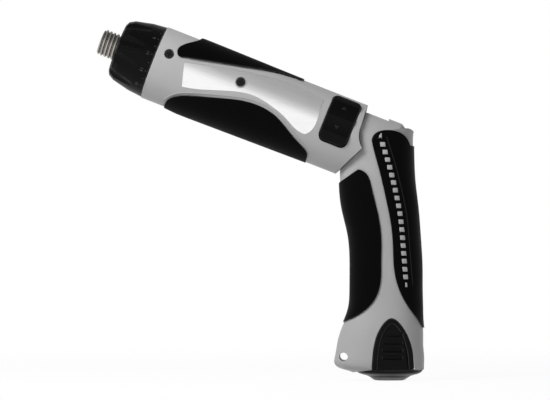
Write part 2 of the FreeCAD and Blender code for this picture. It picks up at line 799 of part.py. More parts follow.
# Fold hinge: tongue on the barrel, hub and pin in the handle

def hinge_block():
    half = S.tongue_thick / 2
    eye = cylinder("hinge_eye", S.tongue_height / 2, S.tongue_thick, (ZERO, -half, ZERO), "Y")
    arm = box("hinge_arm", (ZERO, -half, -S.tongue_height / 2), (S.tongue_length, half, S.tongue_height / 2))
    bore = cylinder("hinge_bore", S.hinge_pin_radius + S.run_gap, S.tongue_thick + S.overrun * 2,
                    (ZERO, -half - S.overrun, ZERO), "Y")
    notches = [detent_rod(f"detent_notch_{k}", turn, S.detent_radius + S.play) for k, turn in
               enumerate((0, 90 - S.barrel_rise.number))]
    node("hinge_block", cut("hinge_block_shape", fuse("hinge_block_body", eye, arm), bore, *notches), BARREL_FRAME)


def detent_rod(name, turn, radius):
    """A rod across the tongue, on the rim of its eye, turned back from straight below the pivot."""
    angle = math.radians(-90 - turn)
    away = float(S.tongue_height) / 2 + float(S.detent_leaf) / 2
    width = float(S.tongue_thick)
    spot = Vector(away * math.cos(angle), -width, away * math.sin(angle))
    return made(name, Part.makeCylinder(float(radius), 2 * width, spot, Vector(0, 1, 0)))


def detent_spring():
    """Leaf under the tongue with a round bump in its notch."""
    top = -S.tongue_height / 2 - S.play
    half_length, half_width = S.detent_length / 2, S.tongue_thick / 2 - S.play
    leaf = box("detent_leaf", (-half_length, -half_width, top - S.detent_leaf), (half_length, half_width, top))
    bump = common("detent_bump", detent_rod("detent_bump_rod", 0, S.detent_radius),
                  box("detent_room", (-half_length, -half_width, top - S.detent_leaf / 2), (half_length, half_width, ZERO)))
    node("detent_spring", fuse("detent_spring_shape", leaf, bump), BARREL_FRAME)
    grow = S.seat_gap
    return box("detent_pocket", (-half_length - grow, -half_width - grow, top - S.detent_leaf - grow),
               (half_length + grow, half_width + grow, ZERO))


def hub_form():
    """Knuckle that turns inside the barrel's bore: two crossing cylinders and a ball."""
    upright = cylinder("hub_upright", HUB_RADIUS, S.hub_reach * 2, (ZERO, ZERO, -S.hub_reach), "Z")
    level = cylinder("hub_level", HUB_RADIUS, S.hub_reach * 2, (-S.hub_reach, ZERO, ZERO), "X")
    globe = ball("hub_ball", S.hub_reach, (ZERO, ZERO, ZERO))
    return common("hub", moved("hub_upright_set", upright, Placement(PIVOT, Rotation())),
                  moved("hub_level_set", level, BARREL_FRAME), moved("hub_ball_set", globe, BARREL_FRAME))


def tongue_slot():
    """Wedge that the tongue sweeps between its two stances, with room on both sides."""
    lower = float(S.tongue_height) / 2 + float(S.play)
    reach = float(S.hub_reach) + float(S.overrun)
    rise = math.radians(S.barrel_rise.number)
    ahead = Vector(-math.cos(rise), 0, math.sin(rise))
    above = Vector(math.sin(rise), 0, math.cos(rise))
    corner = above * -lower
    corner = corner + ahead * ((corner.x - lower) / math.cos(rise))
    far = corner + ahead * (2 * reach)
    points = [(corner.x, corner.z), (far.x, far.z), (far.x, far.z + 2 * reach), (lower, far.z + 2 * reach)]
    points.append(points[0])
    half = S.tongue_thick / 2 + S.play
    slot = prism("tongue_slot", [("line", points)], -half, half)
    slot.Placement = Placement(PIVOT, Rotation())
    return slot


# Handle

def handle_skins():
    return {
        "shell": handle_form("handle_skin", ZERO),
        "inner": handle_form("handle_inner", -S.handle_wall),
        "bed": handle_form("handle_bed", -S.handle_grip_pocket),
        "grip": handle_form("handle_grip_skin", S.handle_grip_proud),
        "outside": handle_form("handle_outside", S.overrun),
        "latch": handle_form("latch_inner", -S.latch_thick),
        "recess": handle_form("latch_recess", -S.latch_recess),
    }


def grip_runs(*runs):
    return [(kind, scaled(shares, 0, S.handle_depth, S.pivot_height)) for kind, shares in runs]


def barrel_room():
    """Space that the barrel takes up in both stances, with the seam gap added."""
    slab = barrel_reach("fold_slab", S.play)
    return fuse("fold_room", moved("pistol_room", slab, BARREL_FRAME), moved("straight_room", slab, STRAIGHT_FRAME))


def crown_room():
    """Space round the beak at the handle's top, behind the knuckle."""
    runs = grip_runs(("curve", BEAK_SHARES), ("line", BEAK_BACK_SHARES))
    return prism("crown_room", runs, -S.handle_width, S.handle_width)


def handle_blank(skins, room):
    """Handle with its knuckle, hollowed for the battery and the contacts."""
    wide = S.handle_depth
    blank = fuse("handle_blank", cut("handle_trimmed", skins["shell"], room, crown_room()), hub_form())
    mid_room = box("mid_room", (-wide, -wide, S.base_bulkhead + S.bulkhead_thick), (wide, wide, S.top_bulkhead))
    top_room = box("top_room", (-wide, -wide, S.top_bulkhead + S.bulkhead_thick), (wide, wide, S.cavity_top))
    hollows = [shared(f"handle_{room.Name}", skins["inner"], room) for room in (mid_room, top_room)]
    bore = cylinder("battery_bore", BATTERY_BORE, S.top_bulkhead + S.bulkhead_thick + S.overrun,
                    (S.battery_offset, ZERO, -S.overrun), "Z")
    cap_rooms = [cap_form("cap_room", S.play, S.seat_gap), cap_side_room()]
    strap = cylinder("strap_bore", S.strap_radius, S.handle_width * 2, (strap_station(), -S.handle_width, S.strap_height), "Y")
    pin_room = cylinder("pin_seat", S.hinge_pin_radius + S.seat_gap / 2, S.hinge_pin_length + S.seat_gap,
                        (-S.pivot_offset, -S.hinge_pin_length / 2 - S.seat_gap / 2, S.pivot_height), "Y")
    pocket = moved("detent_pocket_set", detent_spring(), BARREL_FRAME)
    return cut("handle_hollowed", blank, *hollows, bore, *cap_rooms, strap, pin_room, tongue_slot(), pocket)


def strap_station():
    front = -S.handle_depth * -min(front for up, front, rear, width in HANDLE_SECTION_SHARES)
    return front + S.strap_setback


def cap_form(name, grow, lift):
    """Dome of the battery cap, grown to the sides and lifted on top for the room that it slides into."""
    middle = float(S.battery_offset)
    wires = []
    for up, share in CAP_SECTION_SHARES:
        half_depth = share * float(S.cap_depth) / 2 + float(grow)
        half_width = share * float(S.cap_width) / 2 + float(grow)
        level = up * float(S.cap_height + lift) - 2 * float(grow) * (1 - up)
        wires.append(section_wire(middle - half_depth, middle + half_depth, half_width, level))
    return made(name, Part.makeLoft(wires, True, False))


def cap_side_room():
    """Space beside the battery cap, below a line that climbs from the front lip to the cap's top."""
    front, shoulder = [float(S.battery_offset) + share * float(S.cap_depth) for share in CAP_LINE_SHARES]
    low = CAP_LINE_FOOT_SHARE * float(S.cap_height)
    top, under, far = float(S.cap_height + S.seat_gap), -float(S.overrun), float(S.handle_depth)
    points = [(front, low), (shoulder, top), (far, top), (far, under), (front, under), (front, low)]
    return prism("cap_side_room", [("line", points)], -S.handle_width, S.handle_width)


def handle_side(side, skins, blank, room):
    """One handle half with its grips and latch window; side is +1 or -1 along the row's Y."""
    name = "right" if side > 0 else "left"
    wide = S.handle_width
    near, far = (ZERO, wide) if side > 0 else (-wide, ZERO)
    half = half_room(f"handle_{name}_room", side, wide, (-wide * 2, -wide), (wide * 2, S.pivot_height * 2))
    outlines = {
        "front": grip_runs(("curve", FRONT_GRIP_SHARES), ("line", FRONT_GRIP_BACK_SHARES)),
        "rear": grip_runs(("curve", REAR_GRIP_SHARES), ("curve", REAR_GRIP_TOP_SHARES),
                          ("line", REAR_GRIP_BACK_SHARES)),
    }
    holes = handle_screw_holes(side, name)
    openings = {"front": holes if side > 0 else [], "rear": []}
    pockets = []
    grips = {}
    for place, runs in outlines.items():
        leaf = prism(f"handle_{place}_{name}_leaf", runs, near, far)
        sheet = cut(f"handle_{place}_{name}_sheet", common(f"handle_{place}_{name}_skin", leaf, skins["grip"]),
                    skins["bed"], room, *openings[place])
        grips[place] = sheet
        pockets.append(cut(f"handle_{place}_{name}_pocket", common(f"handle_{place}_{name}_out", leaf,
                                                                   skins["outside"]), skins["bed"]))
    for place, sheet in grips.items():
        node(f"handle_grip_{place}_{name}", sheet, ROW_FRAME)
    window = prism(f"latch_{name}_window", latch_runs(S.play), near, far)
    half_shell = common(f"handle_{name}_half", blank, half)
    node(f"handle_shell_{name}", cut(f"handle_shell_{name}_cut", half_shell, *pockets, window, *holes), ROW_FRAME)
    latch_button(name, near, far, skins)


def latch_runs(grow):
    half = float(S.latch_width) / 2 + float(grow)
    foot = float(S.cap_height) + float(S.play)
    height = float(S.latch_top) - foot + float(grow)
    arch = [(float(S.latch_offset) + along * half, foot + up * height) for along, up in LATCH_SHARES]
    if float(grow) > 0:
        base = foot - float(S.overrun)
        close = [arch[-1], (arch[-1][0], base), (arch[0][0], base), arch[0]]
    else:
        close = [arch[-1], arch[0]]
    return [("curve", arch), ("line", close)]


def latch_button(name, near, far, skins):
    """Latch plate with a raised rim round a recess, and ribs left between the grooves in it."""
    sign = -1 if name == "left" else 1
    leaf = prism(f"latch_{name}_leaf", latch_runs(ZERO), near, far)
    blank = cut(f"latch_{name}_plate", common(f"latch_{name}_blank", leaf, skins["shell"]), skins["latch"])
    inner_leaf = prism(f"latch_{name}_inner_leaf", latch_runs(-S.latch_rim), near, far)
    recess = cut(f"latch_{name}_recess", inner_leaf, skins["recess"])
    length = LATCH_RIB_SHARE * float(S.latch_width)
    lean = math.radians(S.latch_lean.number)
    along = Vector(math.cos(lean), -sign * math.sin(lean), 0)
    face = LATCH_FACE_SHARE * float(S.handle_width) / 2 - float(S.latch_recess)
    away = sign * (face + float(S.latch_rib_radius) - float(S.latch_rib_depth))
    grooves = []
    for k in range(LATCH_RIBS):
        level = float(S.latch_rib_low) + k * float(S.latch_rib_pitch)
        start = Vector(float(S.latch_offset), away, level) - along * (length / 2)
        rod = Part.makeCylinder(float(S.latch_rib_radius), length, start, along)
        grooves.append(made(f"latch_{name}_groove_{k}", rod))
    node(f"battery_latch_{name}", cut(f"battery_latch_{name}_shape", blank, recess, *grooves), ROW_FRAME)


def handle_screw_places():
    return [(S.handle_depth * along, S.pivot_height * up) for along, up in HANDLE_SCREW_SHARES]


def handle_screw_face():
    return S.handle_width / 2 - S.handle_screw_depth


def handle_screw_holes(side, name):
    """Head recess and shank hole on the right half, blind thread hole on the left one."""
    holes = []
    face = handle_screw_face()
    head_low = face - S.screw_head_height
    for k, (station, height) in enumerate(handle_screw_places()):
        length = S.handle_screw_length + head_low + S.seat_gap
        holes.append(cylinder(f"handle_{name}_shank_hole_{k}", S.screw_shank_radius + S.seat_gap / 2, length,
                              (station, -S.handle_screw_length + head_low - S.seat_gap, height), "Y"))
        if side > 0:
            holes.append(cylinder(f"handle_{name}_recess_{k}", S.screw_head_radius + S.play / 2, S.handle_width,
                                  (station, head_low - S.seat_gap, height), "Y"))
    return holes


def handle_screws():
    screws = []
    for k, (station, height) in enumerate(handle_screw_places()):
        screws.append(side_screw(f"handle_screw_{k}", station, height, handle_screw_face(), S.handle_screw_length, 1))
    node("handle_screws", group("handle_screws_group", screws), ROW_FRAME)


def hinge_pin():
    pin = cylinder("hinge_pin_shape", S.hinge_pin_radius, S.hinge_pin_length,
                   (-S.pivot_offset, -S.hinge_pin_length / 2, S.pivot_height), "Y")
    node("hinge_pin", pin, ROW_FRAME)


def contacts():
    seat = S.top_bulkhead + S.bulkhead_thick
    node("contact_block", disc("contact_block_shape", seat, seat + S.bulkhead_thick, BATTERY_BORE + S.battery_wall / 2),
         BATTERY_FRAME)
    low = S.battery_top + S.terminal_thick + S.terminal_thick / 2
    blades, plates = [], []
    for sign in (1, -1):
        middle = S.terminal_spread * sign
        side = "right" if sign > 0 else "left"
        half = S.terminal_width / 2
        blades.append(box(f"contact_spring_{side}", (S.battery_offset - half, middle - S.terminal_thick, low),
                          (S.battery_offset + half, middle + S.terminal_thick, seat)))
        plates.append(box(f"battery_terminal_{side}", (S.battery_offset - half, middle - half, S.battery_top),
                          (S.battery_offset + half, middle + half, S.battery_top + S.terminal_thick)))
    node("contact_springs", group("contact_springs_group", blades), ROW_FRAME)
    node("battery_terminals", group("battery_terminals_group", plates), ROW_FRAME)


def battery():
    bottom = S.cap_height
    cell_low = S.battery_top - S.battery_wall - S.cell_length - S.seat_gap
    inner = S.cell_radius + S.seat_gap
    case = turned("battery_case_shape", [
        (bottom, ZERO), (bottom, BATTERY_RADIUS), (S.battery_top, BATTERY_RADIUS), (S.battery_top, ZERO),
        (S.battery_top - S.battery_wall, ZERO), (S.battery_top - S.battery_wall, inner),
        (cell_low - S.seat_gap, inner), (cell_low - S.seat_gap, ZERO),
    ])
    node("battery_case", case, BATTERY_FRAME)
    cell = disc("battery_cell_shape", cell_low, cell_low + S.cell_length, S.cell_radius)
    node("battery_cell", cell, BATTERY_FRAME)
    form = cap_form("cap_form", ZERO, ZERO)
    disc_room = oval("disc_room", S.disc_depth / 2 + S.seat_gap, S.disc_width / 2 + S.seat_gap)
    disc_blank = oval("disc_blank", S.disc_depth / 2, S.disc_width / 2)
    node("battery_cap", cut("battery_cap_shape", form, disc_room), ROW_FRAME)
    node("battery_disc", common("battery_disc_shape", form, disc_blank), ROW_FRAME)


def oval(name, half_depth, half_width):
    middle = float(S.battery_offset)
    wire = section_wire(middle - float(half_depth), middle + float(half_depth), float(half_width), -float(S.overrun))
    return made(name, Part.Face(wire).extrude(Vector(0, 0, float(S.overrun) + float(S.disc_thick))))


# Motor

def motor():
    can_inner = MOTOR_RADIUS - S.can_wall
    boss_hole = S.shaft_radius + S.run_gap
    node("motor_can", turned("motor_can_shape", [
        (S.motor_rear, can_inner), (S.motor_front - S.can_wall, can_inner), (S.motor_front - S.can_wall, boss_hole),
        (S.motor_front, boss_hole), (S.motor_front, MOTOR_RADIUS), (S.motor_rear, MOTOR_RADIUS),
    ]), BARREL_FRAME)
    bell_rear = S.motor_rear - S.end_bell_length
    node("motor_end_bell", ring("motor_end_bell_shape", bell_rear, S.motor_rear, boss_hole, MOTOR_RADIUS),
         BARREL_FRAME)
    armature = can_inner - S.rotor_gap
    rotor_rear, rotor_front = S.motor_rear + S.can_wall, S.motor_front - S.can_wall * 2
    shaft_front = GEARS_ONE + S.gear_width
    pinion_rear = PLATE_FRONT - S.end_play
    bore = S.shaft_radius + S.seat_gap / 2
    node("motor_rotor", turned("motor_rotor_shape", [
        (bell_rear, ZERO), (shaft_front, ZERO), (shaft_front, S.shaft_radius), (rotor_front, S.shaft_radius),
        (rotor_front, armature), (rotor_rear, armature), (rotor_rear, S.shaft_radius), (bell_rear, S.shaft_radius),
    ]), BARREL_FRAME)
    pinion = gear_solid(SUN_TEETH, pinion_rear, shaft_front, 0)
    hole = Part.makeCylinder(float(bore), float(shaft_front), Vector(), Vector(1, 0, 0))
    node("motor_pinion", made("motor_pinion_shape", pinion.cut(hole)), BARREL_FRAME)
    plate_hole = MODULE * (SUN_TEETH / 2 + 1) + S.play
    plate = ring("motor_plate_body", S.motor_front, PLATE_FRONT, plate_hole, CASE_RADIUS)
    holes = [screw_hole(f"plate_{side}", S.barrel_screw_rear, side) for side in (1, -1)]
    node("motor_plate", cut("motor_plate_shape", plate, *holes), BARREL_FRAME)


# Gears

def tooth_half_angle(teeth, radius, slack):
    pitch = float(MODULE) * teeth / 2
    base = pitch * math.cos(PRESSURE_ANGLE)
    lean = math.acos(min(1.0, base / radius))
    involute = math.tan(PRESSURE_ANGLE) - PRESSURE_ANGLE - math.tan(lean) + lean
    return math.pi / (2 * teeth) - slack / (2 * pitch) + involute


def gear_wire(teeth, tip, root, slack, station, start):
    """Closed outline of involute teeth in the YZ plane, each flank an arc through three involute points."""
    def spot(radius, angle):
        return Vector(station, radius * math.cos(angle), radius * math.sin(angle))

    base = float(MODULE) * teeth / 2 * math.cos(PRESSURE_ANGLE)
    knee = max(root, base)
    radii = [knee, (knee + tip) / 2, tip]
    half = {radius: tooth_half_angle(teeth, radius, slack) for radius in radii}
    edges = []
    for tooth in range(teeth):
        middle = start + math.tau * tooth / teeth
        rise = [spot(radius, middle - half[radius]) for radius in radii]
        fall = [spot(radius, middle + half[radius]) for radius in reversed(radii)]
        foot, heel = spot(root, middle - half[knee]), spot(root, middle + half[knee])
        gap_middle = middle + math.pi / teeth
        next_foot = spot(root, middle + math.tau / teeth - half[knee])
        if knee > root:
            edges.append(Part.makeLine(foot, rise[0]))
        edges.append(Part.Arc(*rise).toShape())
        edges.append(Part.Arc(rise[-1], spot(tip, middle), fall[0]).toShape())
        edges.append(Part.Arc(*fall).toShape())
        if knee > root:
            edges.append(Part.makeLine(fall[-1], heel))
        edges.append(Part.Arc(heel, spot(root, gap_middle), next_foot).toShape())
    return Part.Wire(edges)


def gear_solid(teeth, rear, front, start):
    pitch = float(MODULE) * teeth / 2
    tip = pitch + ADDENDUM_SHARE * float(MODULE)
    root = pitch - DEDENDUM_SHARE * float(MODULE)
    wire = gear_wire(teeth, tip, root, float(S.backlash), float(rear), start)
    return Part.Face(wire).extrude(Vector(float(front) - float(rear), 0, 0))


def ring_gear(name, rear, outer):
    inner = float(RING_TIP)
    start = math.pi / RING_TEETH
    wire = gear_wire(RING_TEETH, float(RING_ROOT), inner, -float(S.backlash), float(rear), start)
    length = float(S.ring_width)
    teeth = Part.Face(wire).extrude(Vector(length, 0, 0))
    blank = Part.makeCylinder(float(outer), length, Vector(float(rear), 0, 0), Vector(1, 0, 0))
    node(name, made(name + "_shape", blank.cut(teeth)), BARREL_FRAME)


def planet_spot(k):
    angle = math.tau * k / PLANETS
    return Vector(0, float(PLANET_ORBIT) * math.cos(angle), float(PLANET_ORBIT) * math.sin(angle))


def planets(stage, rear):
    bore_radius = float(S.planet_pin_radius + S.run_gap)
    gear = gear_solid(PLANET_TEETH, rear, rear + S.gear_width, math.pi / PLANET_TEETH)
    bore = Part.makeCylinder(bore_radius, float(PLATE_FRONT) * 2, Vector(), Vector(1, 0, 0))
    blank = gear.cut(bore)
    for k, letter in enumerate("abc"[:PLANETS]):
        planet = blank.copy()
        planet.rotate(Vector(), Vector(1, 0, 0), 360 * k / PLANETS)
        planet.translate(planet_spot(k))
        node(f"planet_{stage}_{letter}", made(f"planet_{stage}_{letter}_shape", planet), BARREL_FRAME)


def planet_pins(stage, rear, front):
    length = float(front) - float(rear)
    pins = []
    for k in range(PLANETS):
        spot = planet_spot(k) + Vector(float(rear), 0, 0)
        rod = Part.makeCylinder(float(S.planet_pin_radius), length, spot, Vector(1, 0, 0))
        pins.append(made(f"planet_pin_{stage}_{k}", rod))
    node(f"planet_pins_{stage}", group(f"planet_pins_{stage}_group", pins), BARREL_FRAME)


def carrier_holes(stage, rear):
    holes = []
    for k in range(PLANETS):
        spot = planet_spot(k) + Vector(float(rear) - float(S.overrun), 0, 0)
        radius = float(S.planet_pin_radius + S.seat_gap / 2)
        length = float(S.carrier_thick + S.overrun)
        holes.append(made(f"carrier_hole_{stage}_{k}", Part.makeCylinder(radius, length, spot, Vector(1, 0, 0))))
    return holes


def gear_train():
    ring_gear("ring_gear_first", PLATE_FRONT, RING_OUTER)
    ring_gear("ring_gear_second", RING_TWO, RING_OUTER)
    planets("first", GEARS_ONE)
    planets("second", GEARS_TWO)
    planet_pins("first", GEARS_ONE, CARRIER_ONE + S.carrier_thick)
    planet_pins("second", GEARS_TWO, CARRIER_TWO + S.carrier_thick)
    plate = disc("carrier_first_plate", CARRIER_ONE, CARRIER_ONE + S.carrier_thick, CARRIER_RADIUS)
    sun = made("sun_second", gear_solid(SUN_TEETH, CARRIER_ONE + S.carrier_thick, GEARS_TWO + S.gear_width, 0))
    first = cut("carrier_first_shape", fuse("carrier_first_body", plate, sun), *carrier_holes("first", CARRIER_ONE))
    node("carrier_first", first, BARREL_FRAME)
    second = ring("carrier_second_plate", CARRIER_TWO, CARRIER_TWO + S.carrier_thick, S.journal_radius + S.seat_gap / 2,
                  CARRIER_RADIUS)
    node("carrier_second", cut("carrier_second_shape", second, *carrier_holes("second", CARRIER_TWO)), BARREL_FRAME)


# Gear case, clutch and spindle

def pin_ring(name, radius, rear, length):
    rods = []
    orbit = (float(S.nose_radius) + float(RING_OUTER)) / 2
    for k in range(CLUTCH_PINS):
        angle = math.tau * (k + CLUTCH_PIN_TURN_SHARE) / CLUTCH_PINS
        spot = Vector(float(rear), orbit * math.cos(angle), orbit * math.sin(angle))
        rods.append(made(f"{name}_{k}", Part.makeCylinder(float(radius), float(length), spot, Vector(1, 0, 0))))
    return rods


def gear_case():
    inner = RING_OUTER + S.seat_gap
    front = S.barrel_front - S.play
    wall_front = PARTITION + S.partition
    bore = S.spindle_radius + S.play
    seat = S.spindle_radius + S.run_gap + S.bush_wall + S.seat_gap / 2
    bush_rear = S.nose_front - S.bush_length
    body = turned("gear_case_body", [
        (PLATE_FRONT, inner), (PARTITION, inner), (PARTITION, bore), (bush_rear, bore), (bush_rear, seat),
        (S.nose_front, seat), (S.nose_front, S.nose_radius), (wall_front, S.nose_radius), (wall_front, HOUSING_BORE),
        (front, HOUSING_BORE), (front, CASE_RADIUS), (PLATE_FRONT, CASE_RADIUS),
    ])
    holes = pin_ring("clutch_pin_hole", S.clutch_pin_radius + S.seat_gap, PARTITION - S.overrun,
                     S.partition + S.overrun * 2)
    sides = [screw_hole(f"case_{side}", S.barrel_screw_front, side) for side in (1, -1)]
    node("gear_case", cut("gear_case_shape", body, *holes, *sides), BARREL_FRAME)
    bush = ring("spindle_bush_shape", bush_rear + S.seat_gap, S.nose_front, S.spindle_radius + S.run_gap,
                seat - S.seat_gap / 2)
    node("spindle_bush", bush, BARREL_FRAME)


def clutch():
    pins = pin_ring("clutch_pin", S.clutch_pin_radius, RING_TWO_FRONT + S.seat_gap, WASHER - RING_TWO_FRONT - S.seat_gap)
    node("clutch_pins", group("clutch_pins_group", pins), BARREL_FRAME)
    washer = ring("clutch_washer_shape", WASHER, SPRING_REAR, S.nose_radius + S.play, HOUSING_BORE - S.play)
    node("clutch_washer", washer, BARREL_FRAME)
    nut = ring("clutch_nut_shape", NUT_REAR, NUT_REAR + S.nut_thick, S.nose_radius + S.play, NUT_RADIUS)
    node("clutch_nut", nut, BARREL_FRAME)
    node("clutch_spring", clutch_spring(), BARREL_FRAME)


def clutch_spring():
    """Coil spring between washer and nut: half turns that lean to and fro, each ending where the next begins."""
    wire = float(S.spring_wire)
    length = float(NUT_REAR) - float(SPRING_REAR) - 2 * wire - 2 * float(S.seat_gap)
    radius = float(SPRING_RADIUS)
    rise = length / (2 * SPRING_TURNS)
    lean = math.degrees(math.asin(rise / (2 * radius)))
    halves = []
    for k in range(2 * SPRING_TURNS):
        half = Part.makeTorus(radius, wire, Vector(), Vector(0, 0, 1), -180, 180, 180)
        half.rotate(Vector(), Vector(0, 0, 1), 180 * (k % 2))
        half.rotate(Vector(), Vector(0, 1, 0), -lean if k % 2 else lean)
        half.translate(Vector(0, 0, (k + 1 / 2) * rise))
        halves.append(half)
    coil = halves[0].fuse(halves[1:]).Solids[0]
    coil.rotate(Vector(), Vector(0, 1, 0), 90)
    coil.translate(Vector(float(SPRING_REAR) + wire + float(S.seat_gap), 0, 0))
    return made("clutch_spring_shape", coil)


def collar():
    rear = S.barrel_front + S.collar_gap
    nut_bore = HOUSING_BORE
    face_rear = S.collar_front - S.collar_face
    hole = S.spindle_radius + S.play
    seat = S.nose_radius + S.run_gap
    seat_rear = S.nose_front - S.collar_face
    clip_room = S.spindle_radius + S.clip_rim + S.play
    outer_rear = S.barrel_radius - S.play
    shoulder = S.collar_front - S.collar_round
    soft = S.collar_round / 4
    body = turned("collar_body", [
        (rear, nut_bore), (seat_rear, nut_bore), (seat_rear, seat), (S.nose_front + S.play, seat),
        (S.nose_front + S.play, clip_room), (face_rear, clip_room), (face_rear, hole), (S.collar_front, hole),
        (S.collar_front, S.collar_nose), (S.collar_front - soft, (S.collar_nose + S.collar_shoulder) / 2),
        (shoulder, S.collar_shoulder), (S.collar_front - S.collar_waist, S.collar_waist_radius), (rear, outer_rear),
    ])
    flutes = []
    for k in range(FLUTES):
        angle = math.tau * k / FLUTES
        away = float(S.collar_shoulder) + float(S.flute_radius) - float(S.flute_depth)
        length = float(S.collar_front) - float(rear)
        rod = Part.makeCylinder(float(S.flute_radius), length + float(S.overrun), Vector(float(rear), 0, 0), Vector(1, 0, 0))
        rod.rotate(Vector(float(S.collar_front), 0, 0), Vector(0, 1, 0), float(S.flute_tilt))
        rod.translate(Vector(0, 0, away))
        rod.rotate(Vector(), Vector(1, 0, 0), math.degrees(angle))
        flutes.append(made(f"flute_{k}", rod))
    node("clutch_collar", cut("clutch_collar_shape", body, *flutes), BARREL_FRAME)


def thread_groove():
    """Helical groove on the spindle's nose, its crests left on the spindle's own cylinder."""
    pitch, depth = float(S.thread_pitch), float(S.thread_depth)
    radius = float(S.spindle_radius)
    length = float(S.thread_length) + pitch
    helix = Part.makeHelix(pitch, length, radius)
    flat, mouth = pitch * THREAD_FLAT_SHARE, pitch * THREAD_MOUTH_SHARE
    profile = [(-mouth, depth), (mouth, depth), (mouth, 0), (flat, -depth), (-flat, -depth), (-mouth, 0)]
    spots = [Vector(radius + out, 0, along) for along, out in profile]
    wire = Part.Wire(Part.makePolygon(spots + spots[:1]).Edges)
    groove = Part.Wire(helix.Edges).makePipeShell([wire], True, True)
    groove.rotate(Vector(), Vector(0, 1, 0), 90)
    groove.translate(Vector(float(S.spindle_front) - float(S.thread_length), 0, 0))
    return made("thread_groove", groove)


def spindle():
    rear = CARRIER_TWO + S.seat_gap
    shoulder = CARRIER_TWO + S.carrier_thick + S.seat_gap
    clip_rear = S.nose_front + S.seat_gap
    clip_front = clip_rear + S.clip_thick + S.seat_gap
    waist = S.spindle_radius - S.clip_depth
    chamfer = S.thread_depth
    tip, mouth = S.spindle_front, S.spindle_front - S.socket_mouth
    body = turned("spindle_body", [
        (rear, ZERO), (mouth, ZERO), (mouth, S.socket_radius), (tip, S.socket_radius),
        (tip, S.spindle_radius - chamfer), (tip - chamfer, S.spindle_radius), (clip_front, S.spindle_radius),
        (clip_front, waist), (clip_rear, waist), (clip_rear, S.spindle_radius), (shoulder, S.spindle_radius),
        (shoulder, S.journal_radius), (rear, S.journal_radius),
    ])
    hexagon = DOC.addObject("Part::Prism", "bit_socket")
    hexagon.Polygon = 6
    hexagon.Placement = Placement(Vector(), AXIS_TURNS["X"])
    bind(hexagon, Circumradius=S.hex_across / math.sqrt(3), Height=S.hex_depth + S.seat_gap)
    put(hexagon, (mouth - S.hex_depth, ZERO, ZERO))
    node("spindle", cut("spindle_shape", body, hexagon, thread_groove()), BARREL_FRAME)
    clip = ring("spindle_clip_ring", clip_rear + S.seat_gap / 2, clip_rear + S.clip_thick, waist + S.seat_gap / 2,
                S.spindle_radius + S.clip_rim)
    opening = box("spindle_clip_gap", (clip_rear - S.overrun, -S.clip_thick, ZERO),
                  (clip_front + S.overrun, S.clip_thick, S.spindle_radius * 2))
    node("spindle_clip", cut("spindle_clip_shape", clip, opening), BARREL_FRAME)


def build():
    skins = handle_skins()
    room = barrel_room()
    blank = handle_blank(skins, room)
    for side in (1, -1):
        handle_side(side, skins, blank, room)
        barrel_side(side)
    handle_screws()
    hinge_pin()
    contacts()
    battery()
    hinge_block()
    barrel_screws()
    rocker_switch()
    switch_module()
    motor()
    gear_train()
    gear_case()
    clutch()
    collar()
    spindle()


def write_parts():
    DOC.recompute()
    for label, thing, frame in NODES:
        thing.Placement = frame.multiply(thing.Placement)
    DOC.recompute()
    bad = [thing.Name for thing in DOC.Objects if "Invalid" in thing.State or "Error" in thing.State]
    for label, thing, frame in NODES:
        if thing.Shape.isNull() or not thing.Shape.isValid() or not thing.Shape.Solids:
            bad.append(label)
    if bad:
        raise SystemExit("not built: " + ", ".join(bad))
    os.makedirs("parts", exist_ok=True)
    for label, thing, frame in NODES:
        thing.Shape.exportStep(f"parts/{label}.step")
        print(f"{label}: {len(thing.Shape.Solids)} solids, {thing.Shape.Volume:.1f} mm3")


build()
write_parts()
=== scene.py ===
import json
import math

import bmesh
import bpy
from mathutils import Matrix, Vector
from mathutils.bvhtree import BVHTree


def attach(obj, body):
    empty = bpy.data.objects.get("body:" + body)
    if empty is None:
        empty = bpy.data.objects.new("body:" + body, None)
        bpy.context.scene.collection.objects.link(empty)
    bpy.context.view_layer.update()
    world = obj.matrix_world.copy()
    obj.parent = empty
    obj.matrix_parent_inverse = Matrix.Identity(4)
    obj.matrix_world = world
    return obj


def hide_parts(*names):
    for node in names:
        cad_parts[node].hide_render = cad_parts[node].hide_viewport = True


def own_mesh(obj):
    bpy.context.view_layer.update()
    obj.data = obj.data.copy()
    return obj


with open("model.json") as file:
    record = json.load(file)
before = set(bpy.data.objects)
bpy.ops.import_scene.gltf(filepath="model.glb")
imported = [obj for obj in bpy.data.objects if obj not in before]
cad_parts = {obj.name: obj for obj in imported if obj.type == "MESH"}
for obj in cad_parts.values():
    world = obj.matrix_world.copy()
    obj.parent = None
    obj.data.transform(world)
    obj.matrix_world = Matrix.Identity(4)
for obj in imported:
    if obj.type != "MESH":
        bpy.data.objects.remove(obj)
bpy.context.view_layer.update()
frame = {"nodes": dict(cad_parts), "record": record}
NODES = frame["nodes"]
MM = 0.001

# Each side, and the sign of y on it
SIDES = (("left", -1), ("right", 1))

# Barrel directions, from the fold pivot: along to the nose, left, and up
BARREL_RISE = math.radians(21.4)
PIVOT_X, PIVOT_HEIGHT = -7.4, 123.0
PIVOT = Vector((PIVOT_X, 0, PIVOT_HEIGHT)) * MM
ALONG = Vector((-math.cos(BARREL_RISE), 0, math.sin(BARREL_RISE)))
LEFT = Vector((0, -1, 0))
UP = Vector((math.sin(BARREL_RISE), 0, math.cos(BARREL_RISE)))

# Barrel's radius, handle's depth, and how far out a ray to a surface starts, in millimetres
BARREL_RADIUS = 20.0
HANDLE_DEPTH = 38.2
RAY_START = 40.0


def on_barrel(station, left, up):
    return PIVOT + (ALONG * station + LEFT * left + UP * up) * MM


def outward(angle):
    """Direction out of the barrel's axis: angle 0 to the left side, 90 degrees to the top."""
    return LEFT * math.cos(angle) + UP * math.sin(angle)


# Materials: the span that noise fills, its detail and share, samples, and distances in millimetres

